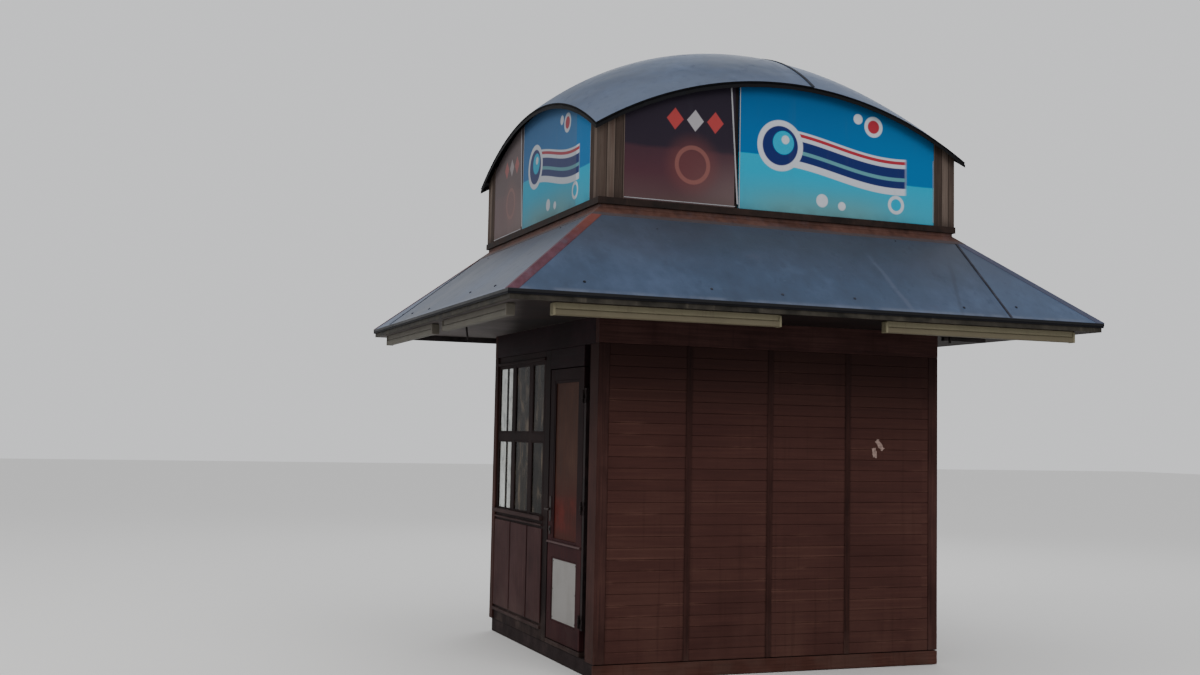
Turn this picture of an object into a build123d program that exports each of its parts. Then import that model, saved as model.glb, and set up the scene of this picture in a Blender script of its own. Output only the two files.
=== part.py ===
"""Timber street kiosk: boarded walls, a door and glazed fronts, under a hipped sheet skirt roof
that carries a four-sided sign box and a dome arched on all four sides.

X runs along the boarded front, Y from that front to the back, Z up. Origin: middle of the base.
"""
from build123d import *
from math import hypot, sqrt
import os

# Driving dimensions, millimetres

# Plan and levels
wall_length = 2800
wall_depth = 2500
plinth_height = 110
plinth_inset = 20
floor_thickness = 24
wall_top = 2330
beam_height = 190
beam_thickness = 70

# Posts, boarded bays and their trim
post_size = 84
hinge_post_depth = 163
wall_thickness = 64
wall_recess = 10
bay_first_joint = 700
bay_pitch = 653
bay_count = 4
batten_width = 42
base_board_height = 104
base_board_lift = 4

# Glazed fronts
front_recess = 14
front_thickness = 62
stile_width = 28
mullion_width = 75
bottom_rail_top = 262
apron_top = 928
sill_top = 1050
transom_bottom = 1626
transom_top = 1690
light_top = 2240
apron_lap = 27
apron_thickness = 10
glass_thickness = 6
glass_recess = 8
left_light_widths = (289, 373, 373)
back_light_count = 6

# Doorway and door leaf
hinge_jamb_width = 159
latch_jamb_width = 114
jamb_depth = 90
hinge_jamb_recess = 40
floor_clearance = 2
threshold_rise = 10
door_gap = 6
door_top = 2175
door_thickness = 40
door_recess = 18
door_stile_width = 96
door_bottom_rail = 140
door_mid_rail_bottom = 765
door_mid_rail_top = 882
door_top_rail = 85
door_panel_thickness = 16
door_panel_recess = 10
door_sheet_recess = 7
weather_bar_size = 14
stop_width = 30

# Handle and hinges
handle_height = 1120
handle_plate_width = 42
handle_plate_height = 190
handle_plate_thickness = 4
handle_reach = 48
handle_bar_radius = 8
handle_lever_length = 105
hinge_barrel_radius = 8
hinge_barrel_height = 90
hinge_heights = (360, 1160, 1960)
hinge_plate_width = 46
hinge_plate_thickness = 3
hinge_strip_lap = 60
knuckle_gap = 1

# Eaves, soffit and skirt roof
eave_overhang_x = 915
eave_overhang_y = 785
soffit_thickness = 12
fascia_thickness = 18
eave_edge_height = 66
skirt_rise = 679
skirt_thickness = 20
sheet_lip = 12

# Hip caps and the flashing at the foot of the sign box
hip_cap_width = 45
hip_cap_lift = 5
flashing_height = 22
flashing_reach = 70
flashing_thickness = 6

# Sign box
sign_half_length = 1450
sign_half_depth = 1344
corner_board_width = 185
corner_board_thickness = 18
sign_wall_thickness = 40
sign_wall_lap = 96
sign_board_thickness = 14
sign_rail_height = 48
sign_rail_thickness = 26
sign_head_gap = 30
sign_split = -404
sign_split_gap = 34

# Dome, arched on all four sides, its edge arches flatter than the ones over its crown
dome_overhang_length = 74
dome_overhang_depth = 81
dome_corner_rise = 503
edge_rise_long = 443
edge_rise_deep = 383
dome_crown_rise = 561
dome_thickness = 20
dome_facets = 16
dome_band_height = 24
dome_band_thickness = 14
seam_place = 168
seam_width = 36
seam_lift = 4

# Strip lights under the eaves
light_body_height = 84
light_body_width = 62
light_length = 1638
front_light_starts = (-1995, 465)
left_light_end = 150
light_edge_gap = 34

# Derived sizes
half_length = wall_length / 2
half_depth = wall_depth / 2
eave_half_length = half_length + eave_overhang_x
eave_half_depth = half_depth + eave_overhang_y
beam_top = wall_top + beam_height
run_x = eave_half_length - sign_half_length
run_y = eave_half_depth - sign_half_depth
eave_top = beam_top + eave_edge_height
skirt_top = eave_top + skirt_rise
sign_board_bottom = skirt_top + flashing_height + sign_rail_height
dome_corner_height = sign_board_bottom + dome_corner_rise
doorway_start = hinge_post_depth + hinge_jamb_width
left_front_width = 2 * stile_width + sum(left_light_widths) + (len(left_light_widths) - 1) * mullion_width
doorway_width = wall_depth - post_size - doorway_start - latch_jamb_width - left_front_width
door_width = doorway_width - 2 * door_gap
door_bottom = plinth_height + floor_thickness + threshold_rise + door_gap
doorway_end = doorway_start + doorway_width
glazing_start = doorway_end + latch_jamb_width
floor_top = plinth_height + floor_thickness
threshold_top = floor_top + threshold_rise
door_face = half_length - door_recess
dome_half_length = sign_half_length + dome_overhang_length
dome_half_depth = sign_half_depth + dome_overhang_depth
dome_top = dome_corner_height + edge_rise_deep + dome_crown_rise
facet_width = 2 * dome_half_length / dome_facets
sign_wall_foot = skirt_top - sign_wall_lap

os.makedirs("parts", exist_ok=True)


def arc_height(position, half_span, rise):
    """Height above the springing of a circular arch at a place along its span."""
    radius = (half_span**2 + rise**2) / (2 * rise)
    return sqrt(radius**2 - position**2) - (radius - rise)


def dome_edge(x):
    """Height of the dome's outer face along its front and back edges."""
    return dome_corner_height + arc_height(x, dome_half_length, edge_rise_long)


def dome_crown(x):
    """Height of the dome's outer face along its middle, from one side arch to the other."""
    return dome_corner_height + edge_rise_deep + arc_height(x, dome_half_length, dome_crown_rise)


def dome_face(x, y):
    """Height of the dome's outer face over any place."""
    return dome_edge(x) + arc_height(y, dome_half_depth, dome_crown(x) - dome_edge(x))


def faceted(profile, x):
    """Height along a profile of the dome that runs straight between the joints of its facets."""
    facet = min(int((x + dome_half_length) / facet_width), dome_facets - 1)
    start = -dome_half_length + facet * facet_width
    share = (x - start) / facet_width
    return (1 - share) * profile(start) + share * profile(start + facet_width)


def box(low, high):
    """A plain block between two corners, for use inside a part."""
    middle = [(a + b) / 2 for a, b in zip(low, high)]
    size = [b - a for a, b in zip(low, high)]
    with Locations(tuple(middle)):
        Box(*size)


# Plinth: one block of concrete that carries the posts and the floor
with BuildPart() as plinth:
    with BuildSketch():
        Rectangle(wall_length - 2 * plinth_inset, wall_depth - 2 * plinth_inset)
    extrude(amount=plinth_height)
plinth.part.label = "plinth"
export_step(plinth.part, "parts/plinth.step")

# Floor boards between the walls
floor_inset = front_recess + jamb_depth + floor_clearance
with BuildPart() as floor:
    with BuildSketch(Plane.XY.offset(plinth_height)):
        Rectangle(wall_length - 2 * floor_inset, wall_depth - 2 * floor_inset)
    extrude(amount=floor_thickness)
floor.part.label = "floor"
export_step(floor.part, "parts/floor.step")

# Corner posts, the one beside the door with a wider casing
post_sizes = {
    "post_front_left": (-1, -1, hinge_post_depth),
    "post_front_right": (1, -1, post_size),
    "post_back_left": (-1, 1, post_size),
    "post_back_right": (1, 1, post_size),
}
for post_name, (side_x, side_y, post_depth) in post_sizes.items():
    with BuildPart() as post:
        post_x = side_x * (half_length - post_size / 2)
        post_y = side_y * (half_depth - post_depth / 2)
        with BuildSketch(Plane.XY.offset(plinth_height)):
            with Locations((post_x, post_y)):
                Rectangle(post_size, post_depth)
        extrude(amount=wall_top - plinth_height)
    post.part.label = post_name
    export_step(post.part, f"parts/{post_name}.step")

# Boarded bays of the front wall, between the posts
front_edges = [post_size] + [bay_first_joint + bay_pitch * i for i in range(bay_count - 1)]
front_edges = [edge - half_length for edge in front_edges] + [half_length - post_size]
for number in range(bay_count):
    with BuildPart() as bay:
        box(
            (front_edges[number], -half_depth + wall_recess, plinth_height),
            (front_edges[number + 1], -half_depth + wall_recess + wall_thickness, wall_top),
        )
    bay.part.label = f"front_wall_bay_{number + 1}"
    export_step(bay.part, f"parts/front_wall_bay_{number + 1}.step")

# Cover battens over the joints of the front wall
with BuildPart() as front_battens:
    for edge in front_edges[1:-1]:
        box(
            (edge - batten_width / 2, -half_depth, plinth_height),
            (edge + batten_width / 2, -half_depth + wall_recess, wall_top),
        )
front_battens.part.label = "front_battens"
export_step(front_battens.part, "parts/front_battens.step")

# Boarded wall on the right, with its battens at the same pitch
with BuildPart() as right_wall:
    box(
        (half_length - wall_recess - wall_thickness, -half_depth + post_size, plinth_height),
        (half_length - wall_recess, half_depth - post_size, wall_top),
    )
right_wall.part.label = "right_wall"
export_step(right_wall.part, "parts/right_wall.step")

with BuildPart() as right_battens:
    for edge in (-bay_pitch / 2, bay_pitch / 2):
        box(
            (half_length - wall_recess, edge - batten_width / 2, plinth_height),
            (half_length, edge + batten_width / 2, wall_top),
        )
right_battens.part.label = "right_battens"
export_step(right_battens.part, "parts/right_battens.step")

# Base boards that cover the plinth under the two boarded walls
with BuildPart() as front_base_board:
    box(
        (-half_length, -half_depth, base_board_lift),
        (half_length, -half_depth + plinth_inset, base_board_height),
    )
front_base_board.part.label = "front_base_board"
export_step(front_base_board.part, "parts/front_base_board.step")

with BuildPart() as right_base_board:
    box(
        (half_length - plinth_inset, -half_depth + plinth_inset, base_board_lift),
        (half_length, half_depth, base_board_height),
    )
right_base_board.part.label = "right_base_board"
export_step(right_base_board.part, "parts/right_base_board.step")


def glazed_front(name, plane, lights):
    """Frame, panes and apron boards of one glazed front, drawn on the plane of its outer face.

    lights holds the start and the width of each column of lights along the plane's X.
    """
    start = lights[0][0] - stile_width
    end = lights[-1][0] + lights[-1][1] + stile_width
    rows = ((sill_top, transom_bottom), (transom_top, light_top))
    with BuildPart() as frame:
        with BuildSketch(plane):
            with Locations(((start + end) / 2, (plinth_height + wall_top) / 2)):
                Rectangle(end - start, wall_top - plinth_height)
            for place, width in lights:
                for bottom, top in rows + ((bottom_rail_top, apron_top),):
                    with Locations((place + width / 2, (bottom + top) / 2)):
                        Rectangle(width, top - bottom, mode=Mode.SUBTRACT)
        extrude(amount=-front_thickness)
    frame.part.label = f"{name}_window_frame"
    export_step(frame.part, f"parts/{name}_window_frame.step")

    glass_plane = plane.offset(-glass_recess)
    with BuildPart() as glass:
        with BuildSketch(glass_plane):
            for place, width in lights:
                for bottom, top in rows:
                    with Locations((place + width / 2, (bottom + top) / 2)):
                        Rectangle(width, top - bottom)
        extrude(amount=-glass_thickness)
    glass.part.label = f"{name}_glass"
    export_step(glass.part, f"parts/{name}_glass.step")

    with BuildPart() as aprons:
        with BuildSketch(plane):
            for place, width in lights:
                with Locations((place + width / 2, (bottom_rail_top + apron_top) / 2)):
                    Rectangle(width + 2 * apron_lap, apron_top - bottom_rail_top + 2 * apron_lap)
        extrude(amount=apron_thickness)
    aprons.part.label = f"{name}_aprons"
    export_step(aprons.part, f"parts/{name}_aprons.step")


# Glazed front beside the door, its X running from the front corner to the back
left_plane = Plane(
    origin=(-half_length + front_recess, -half_depth, 0), x_dir=(0, -1, 0), z_dir=(-1, 0, 0)
)
left_lights = []
light_start = glazing_start + stile_width
for light_width in left_light_widths:
    left_lights.append((-light_start - light_width, light_width))
    light_start += light_width + mullion_width
glazed_front("left", left_plane, sorted(left_lights))

# Glazed front at the back
back_plane = Plane(origin=(0, half_depth - front_recess, 0), x_dir=(-1, 0, 0), z_dir=(0, 1, 0))
back_span = wall_length - 2 * post_size - 2 * stile_width
back_light_width = (back_span - (back_light_count - 1) * mullion_width) / back_light_count
back_lights = [
    (-back_span / 2 + i * (back_light_width + mullion_width), back_light_width)
    for i in range(back_light_count)
]
glazed_front("back", back_plane, back_lights)

# Door surround: jambs with stops behind the leaf, head and threshold
stop_face = door_face - door_thickness - door_gap
surround_x = -half_length + front_recess
surround_back = surround_x + jamb_depth


def along(distance):
    """Y of a place on the door side, measured from the front corner."""
    return -half_depth + distance


with BuildPart() as hinge_jamb:
    box(
        (surround_x + hinge_jamb_recess, along(hinge_post_depth), plinth_height),
        (surround_back, along(doorway_start), wall_top),
    )
    box(
        (-stop_face, along(doorway_start), threshold_top),
        (surround_back, along(doorway_start + stop_width), wall_top),
    )
hinge_jamb.part.label = "hinge_jamb"
export_step(hinge_jamb.part, "parts/hinge_jamb.step")

with BuildPart() as latch_jamb:
    box(
        (surround_x, along(doorway_end), plinth_height),
        (surround_back, along(glazing_start), wall_top),
    )
    box(
        (-stop_face, along(doorway_end - stop_width), threshold_top),
        (surround_back, along(doorway_end), wall_top),
    )
latch_jamb.part.label = "latch_jamb"
export_step(latch_jamb.part, "parts/latch_jamb.step")

with BuildPart() as door_head:
    box(
        (surround_x, along(doorway_start), door_top + door_gap),
        (-stop_face, along(doorway_end), wall_top),
    )
door_head.part.label = "door_head"
export_step(door_head.part, "parts/door_head.step")

with BuildPart() as threshold:
    box(
        (surround_x, along(doorway_start), plinth_height),
        (-half_length + floor_inset, along(doorway_end), threshold_top),
    )
threshold.part.label = "threshold"
export_step(threshold.part, "parts/threshold.step")

# Door leaf: stiles and rails round two panels
leaf_start = doorway_start + door_gap
leaf_end = doorway_end - door_gap
leaf_plane = Plane(origin=(-door_face, -half_depth, 0), x_dir=(0, -1, 0), z_dir=(-1, 0, 0))
panel_width = door_width - 2 * door_stile_width
panel_middle = -(leaf_start + leaf_end) / 2
lower_panel = (door_bottom + door_bottom_rail, door_mid_rail_bottom)
upper_panel = (door_mid_rail_top, door_top - door_top_rail)
with BuildPart() as door_frame:
    with BuildSketch(leaf_plane):
        with Locations((panel_middle, (door_bottom + door_top) / 2)):
            Rectangle(door_width, door_top - door_bottom)
        for bottom, top in (lower_panel, upper_panel):
            with Locations((panel_middle, (bottom + top) / 2)):
                Rectangle(panel_width, top - bottom, mode=Mode.SUBTRACT)
    extrude(amount=-door_thickness)
door_frame.part.label = "door_frame"
export_step(door_frame.part, "parts/door_frame.step")

door_panels = {
    "door_upper_board": (upper_panel, door_panel_recess),
    "door_sheet": (lower_panel, door_sheet_recess),
}
for panel_name, ((bottom, top), recess) in door_panels.items():
    with BuildPart() as panel:
        with BuildSketch(leaf_plane.offset(-recess)):
            with Locations((panel_middle, (bottom + top) / 2)):
                Rectangle(panel_width, top - bottom)
        extrude(amount=-door_panel_thickness)
    panel.part.label = panel_name
    export_step(panel.part, f"parts/{panel_name}.step")

# Weather bar on top of the middle rail
with BuildPart() as weather_bar:
    with BuildSketch(leaf_plane):
        with Locations((panel_middle, door_mid_rail_top - weather_bar_size / 2)):
            Rectangle(door_width, weather_bar_size)
    extrude(amount=weather_bar_size)
    top_edges = weather_bar.edges().filter_by(Axis.Y).group_by(Axis.Z)[-1]
    chamfer(top_edges.sort_by(Axis.X)[0], weather_bar_size / 2)
weather_bar.part.label = "door_weather_bar"
export_step(weather_bar.part, "parts/door_weather_bar.step")

# Lever handle on the latch stile
handle_y = along(leaf_end - door_stile_width / 2)
handle_plane = Plane(origin=(-door_face, handle_y, handle_height), x_dir=(0, -1, 0), z_dir=(-1, 0, 0))
with BuildPart() as handle:
    with BuildSketch(handle_plane):
        RectangleRounded(handle_plate_width, handle_plate_height, handle_plate_width / 3)
    extrude(amount=handle_plate_thickness)
    with BuildLine() as grip_line:
        Polyline(
            (-door_face - handle_plate_thickness / 2, handle_y, handle_height),
            (-door_face - handle_reach, handle_y, handle_height),
            (-door_face - handle_reach, handle_y - handle_lever_length, handle_height),
        )
        fillet(grip_line.vertices().sort_by(Axis.Y)[-2:].sort_by(Axis.X)[0], 2 * handle_bar_radius)
    with BuildSketch(Plane(origin=grip_line.line @ 0, z_dir=grip_line.line % 0)):
        Circle(handle_bar_radius)
    sweep()
handle.part.label = "door_handle"
export_step(handle.part, "parts/door_handle.step")

# Hinges: a knuckle on the leaf between two knuckles on the jamb, over one pivot line
pivot_x = -door_face - hinge_barrel_radius
pivot_y = along(doorway_start + door_gap / 2)
knuckle = hinge_barrel_height / 3
plate_x = -door_face - hinge_plate_thickness / 2
hinge_strip_width = hinge_plate_width - door_gap / 2


def hinge_knuckle(bottom, side):
    """One knuckle with its plate, on the leaf's side (1) or the jamb's side (-1) of the pivot."""
    with BuildPart(mode=Mode.PRIVATE) as piece:
        with BuildSketch(Plane.XY.offset(bottom)):
            with Locations((pivot_x, pivot_y)):
                Circle(hinge_barrel_radius)
            with Locations((plate_x, pivot_y + side * hinge_plate_width / 2)):
                Rectangle(hinge_plate_thickness, hinge_plate_width)
        extrude(amount=knuckle)
    return piece.part


with BuildPart() as door_hinges:
    for height in hinge_heights:
        add(hinge_knuckle(height - knuckle / 2, 1))
door_hinges.part.label = "door_hinges"
export_step(door_hinges.part, "parts/door_hinges.step")

# The jamb's knuckles stand on a strip that brings the recessed jamb out to the leaf's face
with BuildPart() as jamb_hinges:
    for height in hinge_heights:
        add(hinge_knuckle(height - hinge_barrel_height / 2 - knuckle_gap, -1))
        add(hinge_knuckle(height + knuckle / 2 + knuckle_gap, -1))
    box(
        (-door_face, along(doorway_start) - hinge_strip_width, hinge_heights[0] - hinge_strip_lap),
        (surround_x + hinge_jamb_recess, along(doorway_start), hinge_heights[-1] + hinge_strip_lap),
    )
jamb_hinges.part.label = "jamb_hinges"
export_step(jamb_hinges.part, "parts/jamb_hinges.step")

# Ring beam on top of the walls
beam_x = half_length - beam_thickness
beam_y = half_depth - beam_thickness
beam_blocks = {
    "front_beam": ((-half_length, -half_depth), (half_length, -beam_y)),
    "back_beam": ((-half_length, beam_y), (half_length, half_depth)),
    "left_beam": ((-half_length, -beam_y), (-beam_x, beam_y)),
    "right_beam": ((beam_x, -beam_y), (half_length, beam_y)),
}
for beam_name, (low, high) in beam_blocks.items():
    with BuildPart() as beam:
        box((*low, wall_top), (*high, beam_top))
    beam.part.label = beam_name
    export_step(beam.part, f"parts/{beam_name}.step")

# Ceiling over the room, soffit boards under the eaves, fascia round their edge
with BuildPart() as ceiling:
    with BuildSketch(Plane.XY.offset(beam_top)):
        Rectangle(wall_length, wall_depth)
    extrude(amount=soffit_thickness)
ceiling.part.label = "ceiling"
export_step(ceiling.part, "parts/ceiling.step")

soffit_half_length = eave_half_length - sheet_lip * run_x / run_y - fascia_thickness
soffit_half_depth = eave_half_depth - sheet_lip - fascia_thickness
fascia_top = eave_top - skirt_thickness + sheet_lip * skirt_rise / run_y
with BuildPart() as soffit:
    with BuildSketch(Plane.XY.offset(beam_top)):
        Rectangle(2 * soffit_half_length, 2 * soffit_half_depth)
        Rectangle(wall_length, wall_depth, mode=Mode.SUBTRACT)
    extrude(amount=soffit_thickness)
soffit.part.label = "soffit"
export_step(soffit.part, "parts/soffit.step")

with BuildPart() as fascia:
    with BuildSketch(Plane.XY.offset(beam_top)):
        Rectangle(2 * (soffit_half_length + fascia_thickness), 2 * (soffit_half_depth + fascia_thickness))
        Rectangle(2 * soffit_half_length, 2 * soffit_half_depth, mode=Mode.SUBTRACT)
    extrude(amount=fascia_top - beam_top)
fascia.part.label = "eave_fascia"
export_step(fascia.part, "parts/eave_fascia.step")

# Bands that lie round the sign box: a profile of (share of the run, height) points is carried
# along one side and cut at the two hips, so that all four sides meet on the hip lines.
hip_length = hypot(run_x, run_y)
hip_planes = {
    (sx, sy): Plane(
        origin=(sx * sign_half_length, sy * sign_half_depth, 0),
        z_dir=(sx * run_y / hip_length, -sy * run_x / hip_length, 0),
    )
    for sx in (-1, 1)
    for sy in (-1, 1)
}


def outward(side, share):
    """Distance from the middle of a side's line that lies a share of the run outside the sign box."""
    if side in ("front", "back"):
        return sign_half_depth + share * run_y
    return sign_half_length + share * run_x


def side_profile(side, points):
    """Points (share of the run, height) as points on the sketch plane of that side."""
    sign = -1 if side in ("front", "left") else 1
    return [(sign * outward(side, share), height) for share, height in points]


side_planes = {"front": Plane.YZ, "back": Plane.YZ, "left": Plane.XZ, "right": Plane.XZ}
sides = ("front", "back", "left", "right")


def hip_cuts(side):
    """The two corners of a side, and which half of their hip planes holds that side."""
    if side in ("front", "back"):
        sy = -1 if side == "front" else 1
        return [(-1, sy), (1, sy)], Keep.BOTTOM
    sx = -1 if side == "left" else 1
    return [(sx, -1), (sx, 1)], Keep.TOP


def side_band(side, points):
    """One side's mitred band with the given profile, added to the part in hand."""
    with BuildPart(mode=Mode.PRIVATE) as band:
        with BuildSketch(side_planes[side]):
            with BuildLine():
                Polyline(*side_profile(side, points), close=True)
            make_face()
        extrude(amount=2 * eave_half_length, both=True)
        corners, kept = hip_cuts(side)
        for corner in corners:
            split(bisect_by=hip_planes[corner], keep=kept)
    return band.part


def sloped(share):
    """Height of the skirt's outer face at a share of the run."""
    return skirt_top - share * skirt_rise


# Skirt roof: one mitred sheet to each side
for side in sides:
    with BuildPart() as skirt:
        add(side_band(side, [
            (0, skirt_top),
            (1, eave_top),
            (1, eave_top - skirt_thickness),
            (0, skirt_top - skirt_thickness),
        ]))
    skirt.part.label = f"{side}_skirt_roof"
    export_step(skirt.part, f"parts/{side}_skirt_roof.step")

# Flashing folded up round the foot of the sign box
flashing_foot = flashing_thickness / run_y
flashing_end = flashing_reach / run_y
with BuildPart() as flashing:
    for side in sides:
        add(side_band(side, [
            (0, skirt_top),
            (0, skirt_top + flashing_height),
            (flashing_foot, skirt_top + flashing_height),
            (flashing_foot, sloped(flashing_foot) + flashing_thickness),
            (flashing_end, sloped(flashing_end) + flashing_thickness),
            (flashing_end, sloped(flashing_end)),
        ]))
flashing.part.label = "sign_box_flashing"
export_step(flashing.part, "parts/sign_box_flashing.step")

# Hip caps: a strip on each side of every hip
with BuildPart() as hip_caps:
    for side in sides:
        corners, kept = hip_cuts(side)
        other = Keep.TOP if kept == Keep.BOTTOM else Keep.BOTTOM
        step = -hip_cap_width if kept == Keep.BOTTOM else hip_cap_width
        for corner in corners:
            with BuildPart(mode=Mode.PRIVATE) as strip:
                add(side_band(side, [
                    (flashing_end, sloped(flashing_end)),
                    (flashing_end, sloped(flashing_end) + hip_cap_lift),
                    (1, eave_top + hip_cap_lift),
                    (1, eave_top),
                ]))
                split(bisect_by=hip_planes[corner].offset(step), keep=other)
            add(strip.part)
hip_caps.part.label = "hip_caps"
export_step(hip_caps.part, "parts/hip_caps.step")


def arched_slab(drop_top, drop_bottom, half_width=dome_half_length, middle=0):
    """Slab under the dome's outer face between two depths, from one arch across the dome to the next."""
    left = middle - half_width
    right = middle + half_width
    joints = [-dome_half_length + facet_width * i for i in range(dome_facets + 1)]
    places = [left] + [x for x in joints if left < x < right] + [right]
    with BuildPart(mode=Mode.PRIVATE) as slab:
        for x in places:
            edge = faceted(dome_edge, x)
            crown = faceted(dome_crown, x)
            with BuildSketch(Plane(origin=(x, 0, 0), x_dir=(0, 1, 0), z_dir=(1, 0, 0))):
                with BuildLine():
                    outer = ThreePointArc(
                        (-dome_half_depth, edge - drop_top),
                        (0, crown - drop_top),
                        (dome_half_depth, edge - drop_top),
                    )
                    inner = ThreePointArc(
                        (dome_half_depth, edge - drop_bottom),
                        (0, crown - drop_bottom),
                        (-dome_half_depth, edge - drop_bottom),
                    )
                    Line(outer @ 1, inner @ 0)
                    Line(inner @ 1, outer @ 0)
                make_face()
        loft(ruled=True)
    return slab.part


# Dome: sheet metal arched both ways, with a lap seam from the front edge to the back one
with BuildPart() as dome:
    add(arched_slab(0, dome_thickness))
    add(arched_slab(-seam_lift, dome_thickness / 2, seam_width / 2, seam_place))
dome.part.label = "dome"
export_step(dome.part, "parts/dome.step")

# Band under the dome's edge, following the arch of each side
with BuildPart() as dome_band:
    with BuildSketch(Plane.XY.offset(sign_board_bottom)):
        Rectangle(2 * dome_half_length, 2 * dome_half_depth)
        offset(amount=-dome_band_thickness, kind=Kind.INTERSECTION, mode=Mode.SUBTRACT)
    extrude(amount=dome_top - sign_board_bottom)
    add(arched_slab(dome_thickness, dome_thickness + dome_band_height), mode=Mode.INTERSECT)
dome_band.part.label = "dome_edge_band"
export_step(dome_band.part, "parts/dome_edge_band.step")

# Everything under the dome's inner face, to cut the sign box to the arches
dome_space = arched_slab(dome_thickness, dome_top - sign_wall_foot)

# Walls of the sign box, from inside the skirt roof up to the dome
with BuildPart() as sign_box:
    with BuildSketch(Plane.XY.offset(sign_wall_foot)):
        Rectangle(2 * sign_half_length, 2 * sign_half_depth)
        offset(amount=-sign_wall_thickness, kind=Kind.INTERSECTION, mode=Mode.SUBTRACT)
    extrude(amount=dome_top - sign_wall_foot)
    add(dome_space, mode=Mode.INTERSECT)
sign_box.part.label = "sign_box_walls"
export_step(sign_box.part, "parts/sign_box_walls.step")

# Rail round the foot of the sign boards
with BuildPart() as sign_rail:
    with BuildSketch(Plane.XY.offset(sign_board_bottom - sign_rail_height)):
        Rectangle(2 * (sign_half_length + sign_rail_thickness), 2 * (sign_half_depth + sign_rail_thickness))
        Rectangle(2 * sign_half_length, 2 * sign_half_depth, mode=Mode.SUBTRACT)
    extrude(amount=sign_rail_height)
sign_rail.part.label = "sign_rail"
export_step(sign_rail.part, "parts/sign_rail.step")

# Corner boards of the sign box, standing on the rail
with BuildPart() as corner_boards:
    board_x = 2 * (sign_half_length + corner_board_thickness)
    board_y = 2 * (sign_half_depth + corner_board_thickness)
    with BuildSketch(Plane.XY.offset(sign_board_bottom)):
        Rectangle(board_x, board_y)
        Rectangle(2 * sign_half_length, 2 * sign_half_depth, mode=Mode.SUBTRACT)
        Rectangle(board_x - 2 * corner_board_width, board_y, mode=Mode.SUBTRACT)
        Rectangle(board_x, board_y - 2 * corner_board_width, mode=Mode.SUBTRACT)
    extrude(amount=dome_top - sign_board_bottom)
    add(dome_space, mode=Mode.INTERSECT)
corner_boards.part.label = "sign_corner_boards"
export_step(corner_boards.part, "parts/sign_corner_boards.step")

# Sign boards: two to each side, their heads cut to the arch
board_face_x = sign_half_length + sign_board_thickness
board_face_y = sign_half_depth + sign_board_thickness
front_face = Plane(origin=(0, -sign_half_depth, 0), x_dir=(1, 0, 0), z_dir=(0, -1, 0))
back_face = Plane(origin=(0, sign_half_depth, 0), x_dir=(-1, 0, 0), z_dir=(0, 1, 0))
left_face = Plane(origin=(-sign_half_length, 0, 0), x_dir=(0, -1, 0), z_dir=(-1, 0, 0))
right_face = Plane(origin=(sign_half_length, 0, 0), x_dir=(0, 1, 0), z_dir=(1, 0, 0))


def long_head(along):
    return dome_face(along, board_face_y) - dome_thickness - sign_head_gap


def deep_head(along):
    return dome_face(board_face_x, along) - dome_thickness - sign_head_gap


board_faces = {
    "front": (front_face, board_x, long_head),
    "back": (back_face, board_x, long_head),
    "left": (left_face, board_y, deep_head),
    "right": (right_face, board_y, deep_head),
}
for side, (face_plane, full_width, head) in board_faces.items():
    inner = full_width / 2 - corner_board_width
    spans = ((-inner, sign_split - sign_split_gap / 2), (sign_split + sign_split_gap / 2, inner))
    with BuildPart() as sign_boards:
        with BuildSketch(face_plane):
            for left, right in spans:
                with BuildLine():
                    middle = (left + right) / 2
                    ThreePointArc((left, head(left)), (middle, head(middle)), (right, head(right)))
                    Polyline(
                        (left, head(left)),
                        (left, sign_board_bottom),
                        (right, sign_board_bottom),
                        (right, head(right)),
                    )
                make_face()
        extrude(amount=sign_board_thickness)
    sign_boards.part.label = f"{side}_sign_boards"
    export_step(sign_boards.part, f"parts/{side}_sign_boards.step")

# Strip lights under the soffit, two to each of the front and left eaves
light_z = beam_top - light_body_height
front_light_y = -soffit_half_depth + light_edge_gap
left_light_x = -soffit_half_length + light_edge_gap
with BuildPart() as front_lights:
    for start in front_light_starts:
        box(
            (start, front_light_y, light_z),
            (start + light_length, front_light_y + light_body_width, beam_top),
        )
front_lights.part.label = "front_strip_lights"
export_step(front_lights.part, "parts/front_strip_lights.step")

with BuildPart() as left_strip:
    for start in (-left_light_end - light_length, left_light_end):
        box(
            (left_light_x, start, light_z),
            (left_light_x + light_body_width, start + light_length, beam_top),
        )
left_strip.part.label = "left_strip_lights"
export_step(left_strip.part, "parts/left_strip_lights.step")
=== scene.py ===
"""Finishes and fine detail for a timber street kiosk, laid out as an add-on and run as a script.

Everything is in metres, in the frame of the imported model: X along the boarded front, Y towards
the back, Z up. Each operator makes one group of pieces and says which body carries them.
"""
import math
import random
from functools import partial

import bmesh
import bpy
from bpy.props import FloatProperty, FloatVectorProperty, IntProperty, PointerProperty
from mathutils import Euler, Matrix, Vector


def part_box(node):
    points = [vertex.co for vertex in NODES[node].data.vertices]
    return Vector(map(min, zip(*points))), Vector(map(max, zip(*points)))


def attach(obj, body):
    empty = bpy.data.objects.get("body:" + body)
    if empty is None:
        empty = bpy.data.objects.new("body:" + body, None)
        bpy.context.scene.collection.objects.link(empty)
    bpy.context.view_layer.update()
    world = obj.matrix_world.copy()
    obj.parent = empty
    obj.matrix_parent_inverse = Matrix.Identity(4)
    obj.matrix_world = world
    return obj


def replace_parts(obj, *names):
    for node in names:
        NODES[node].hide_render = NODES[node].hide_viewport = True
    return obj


bl_info = {
    "name": "Street Kiosk",
    "version": (1, 0, 0),
    "blender": (4, 5, 0),
    "location": "3D View > Sidebar > Kiosk",
    "description": "Boards, roof sheets, signs and finishes of a timber street kiosk",
    "category": "Object",
}

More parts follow.
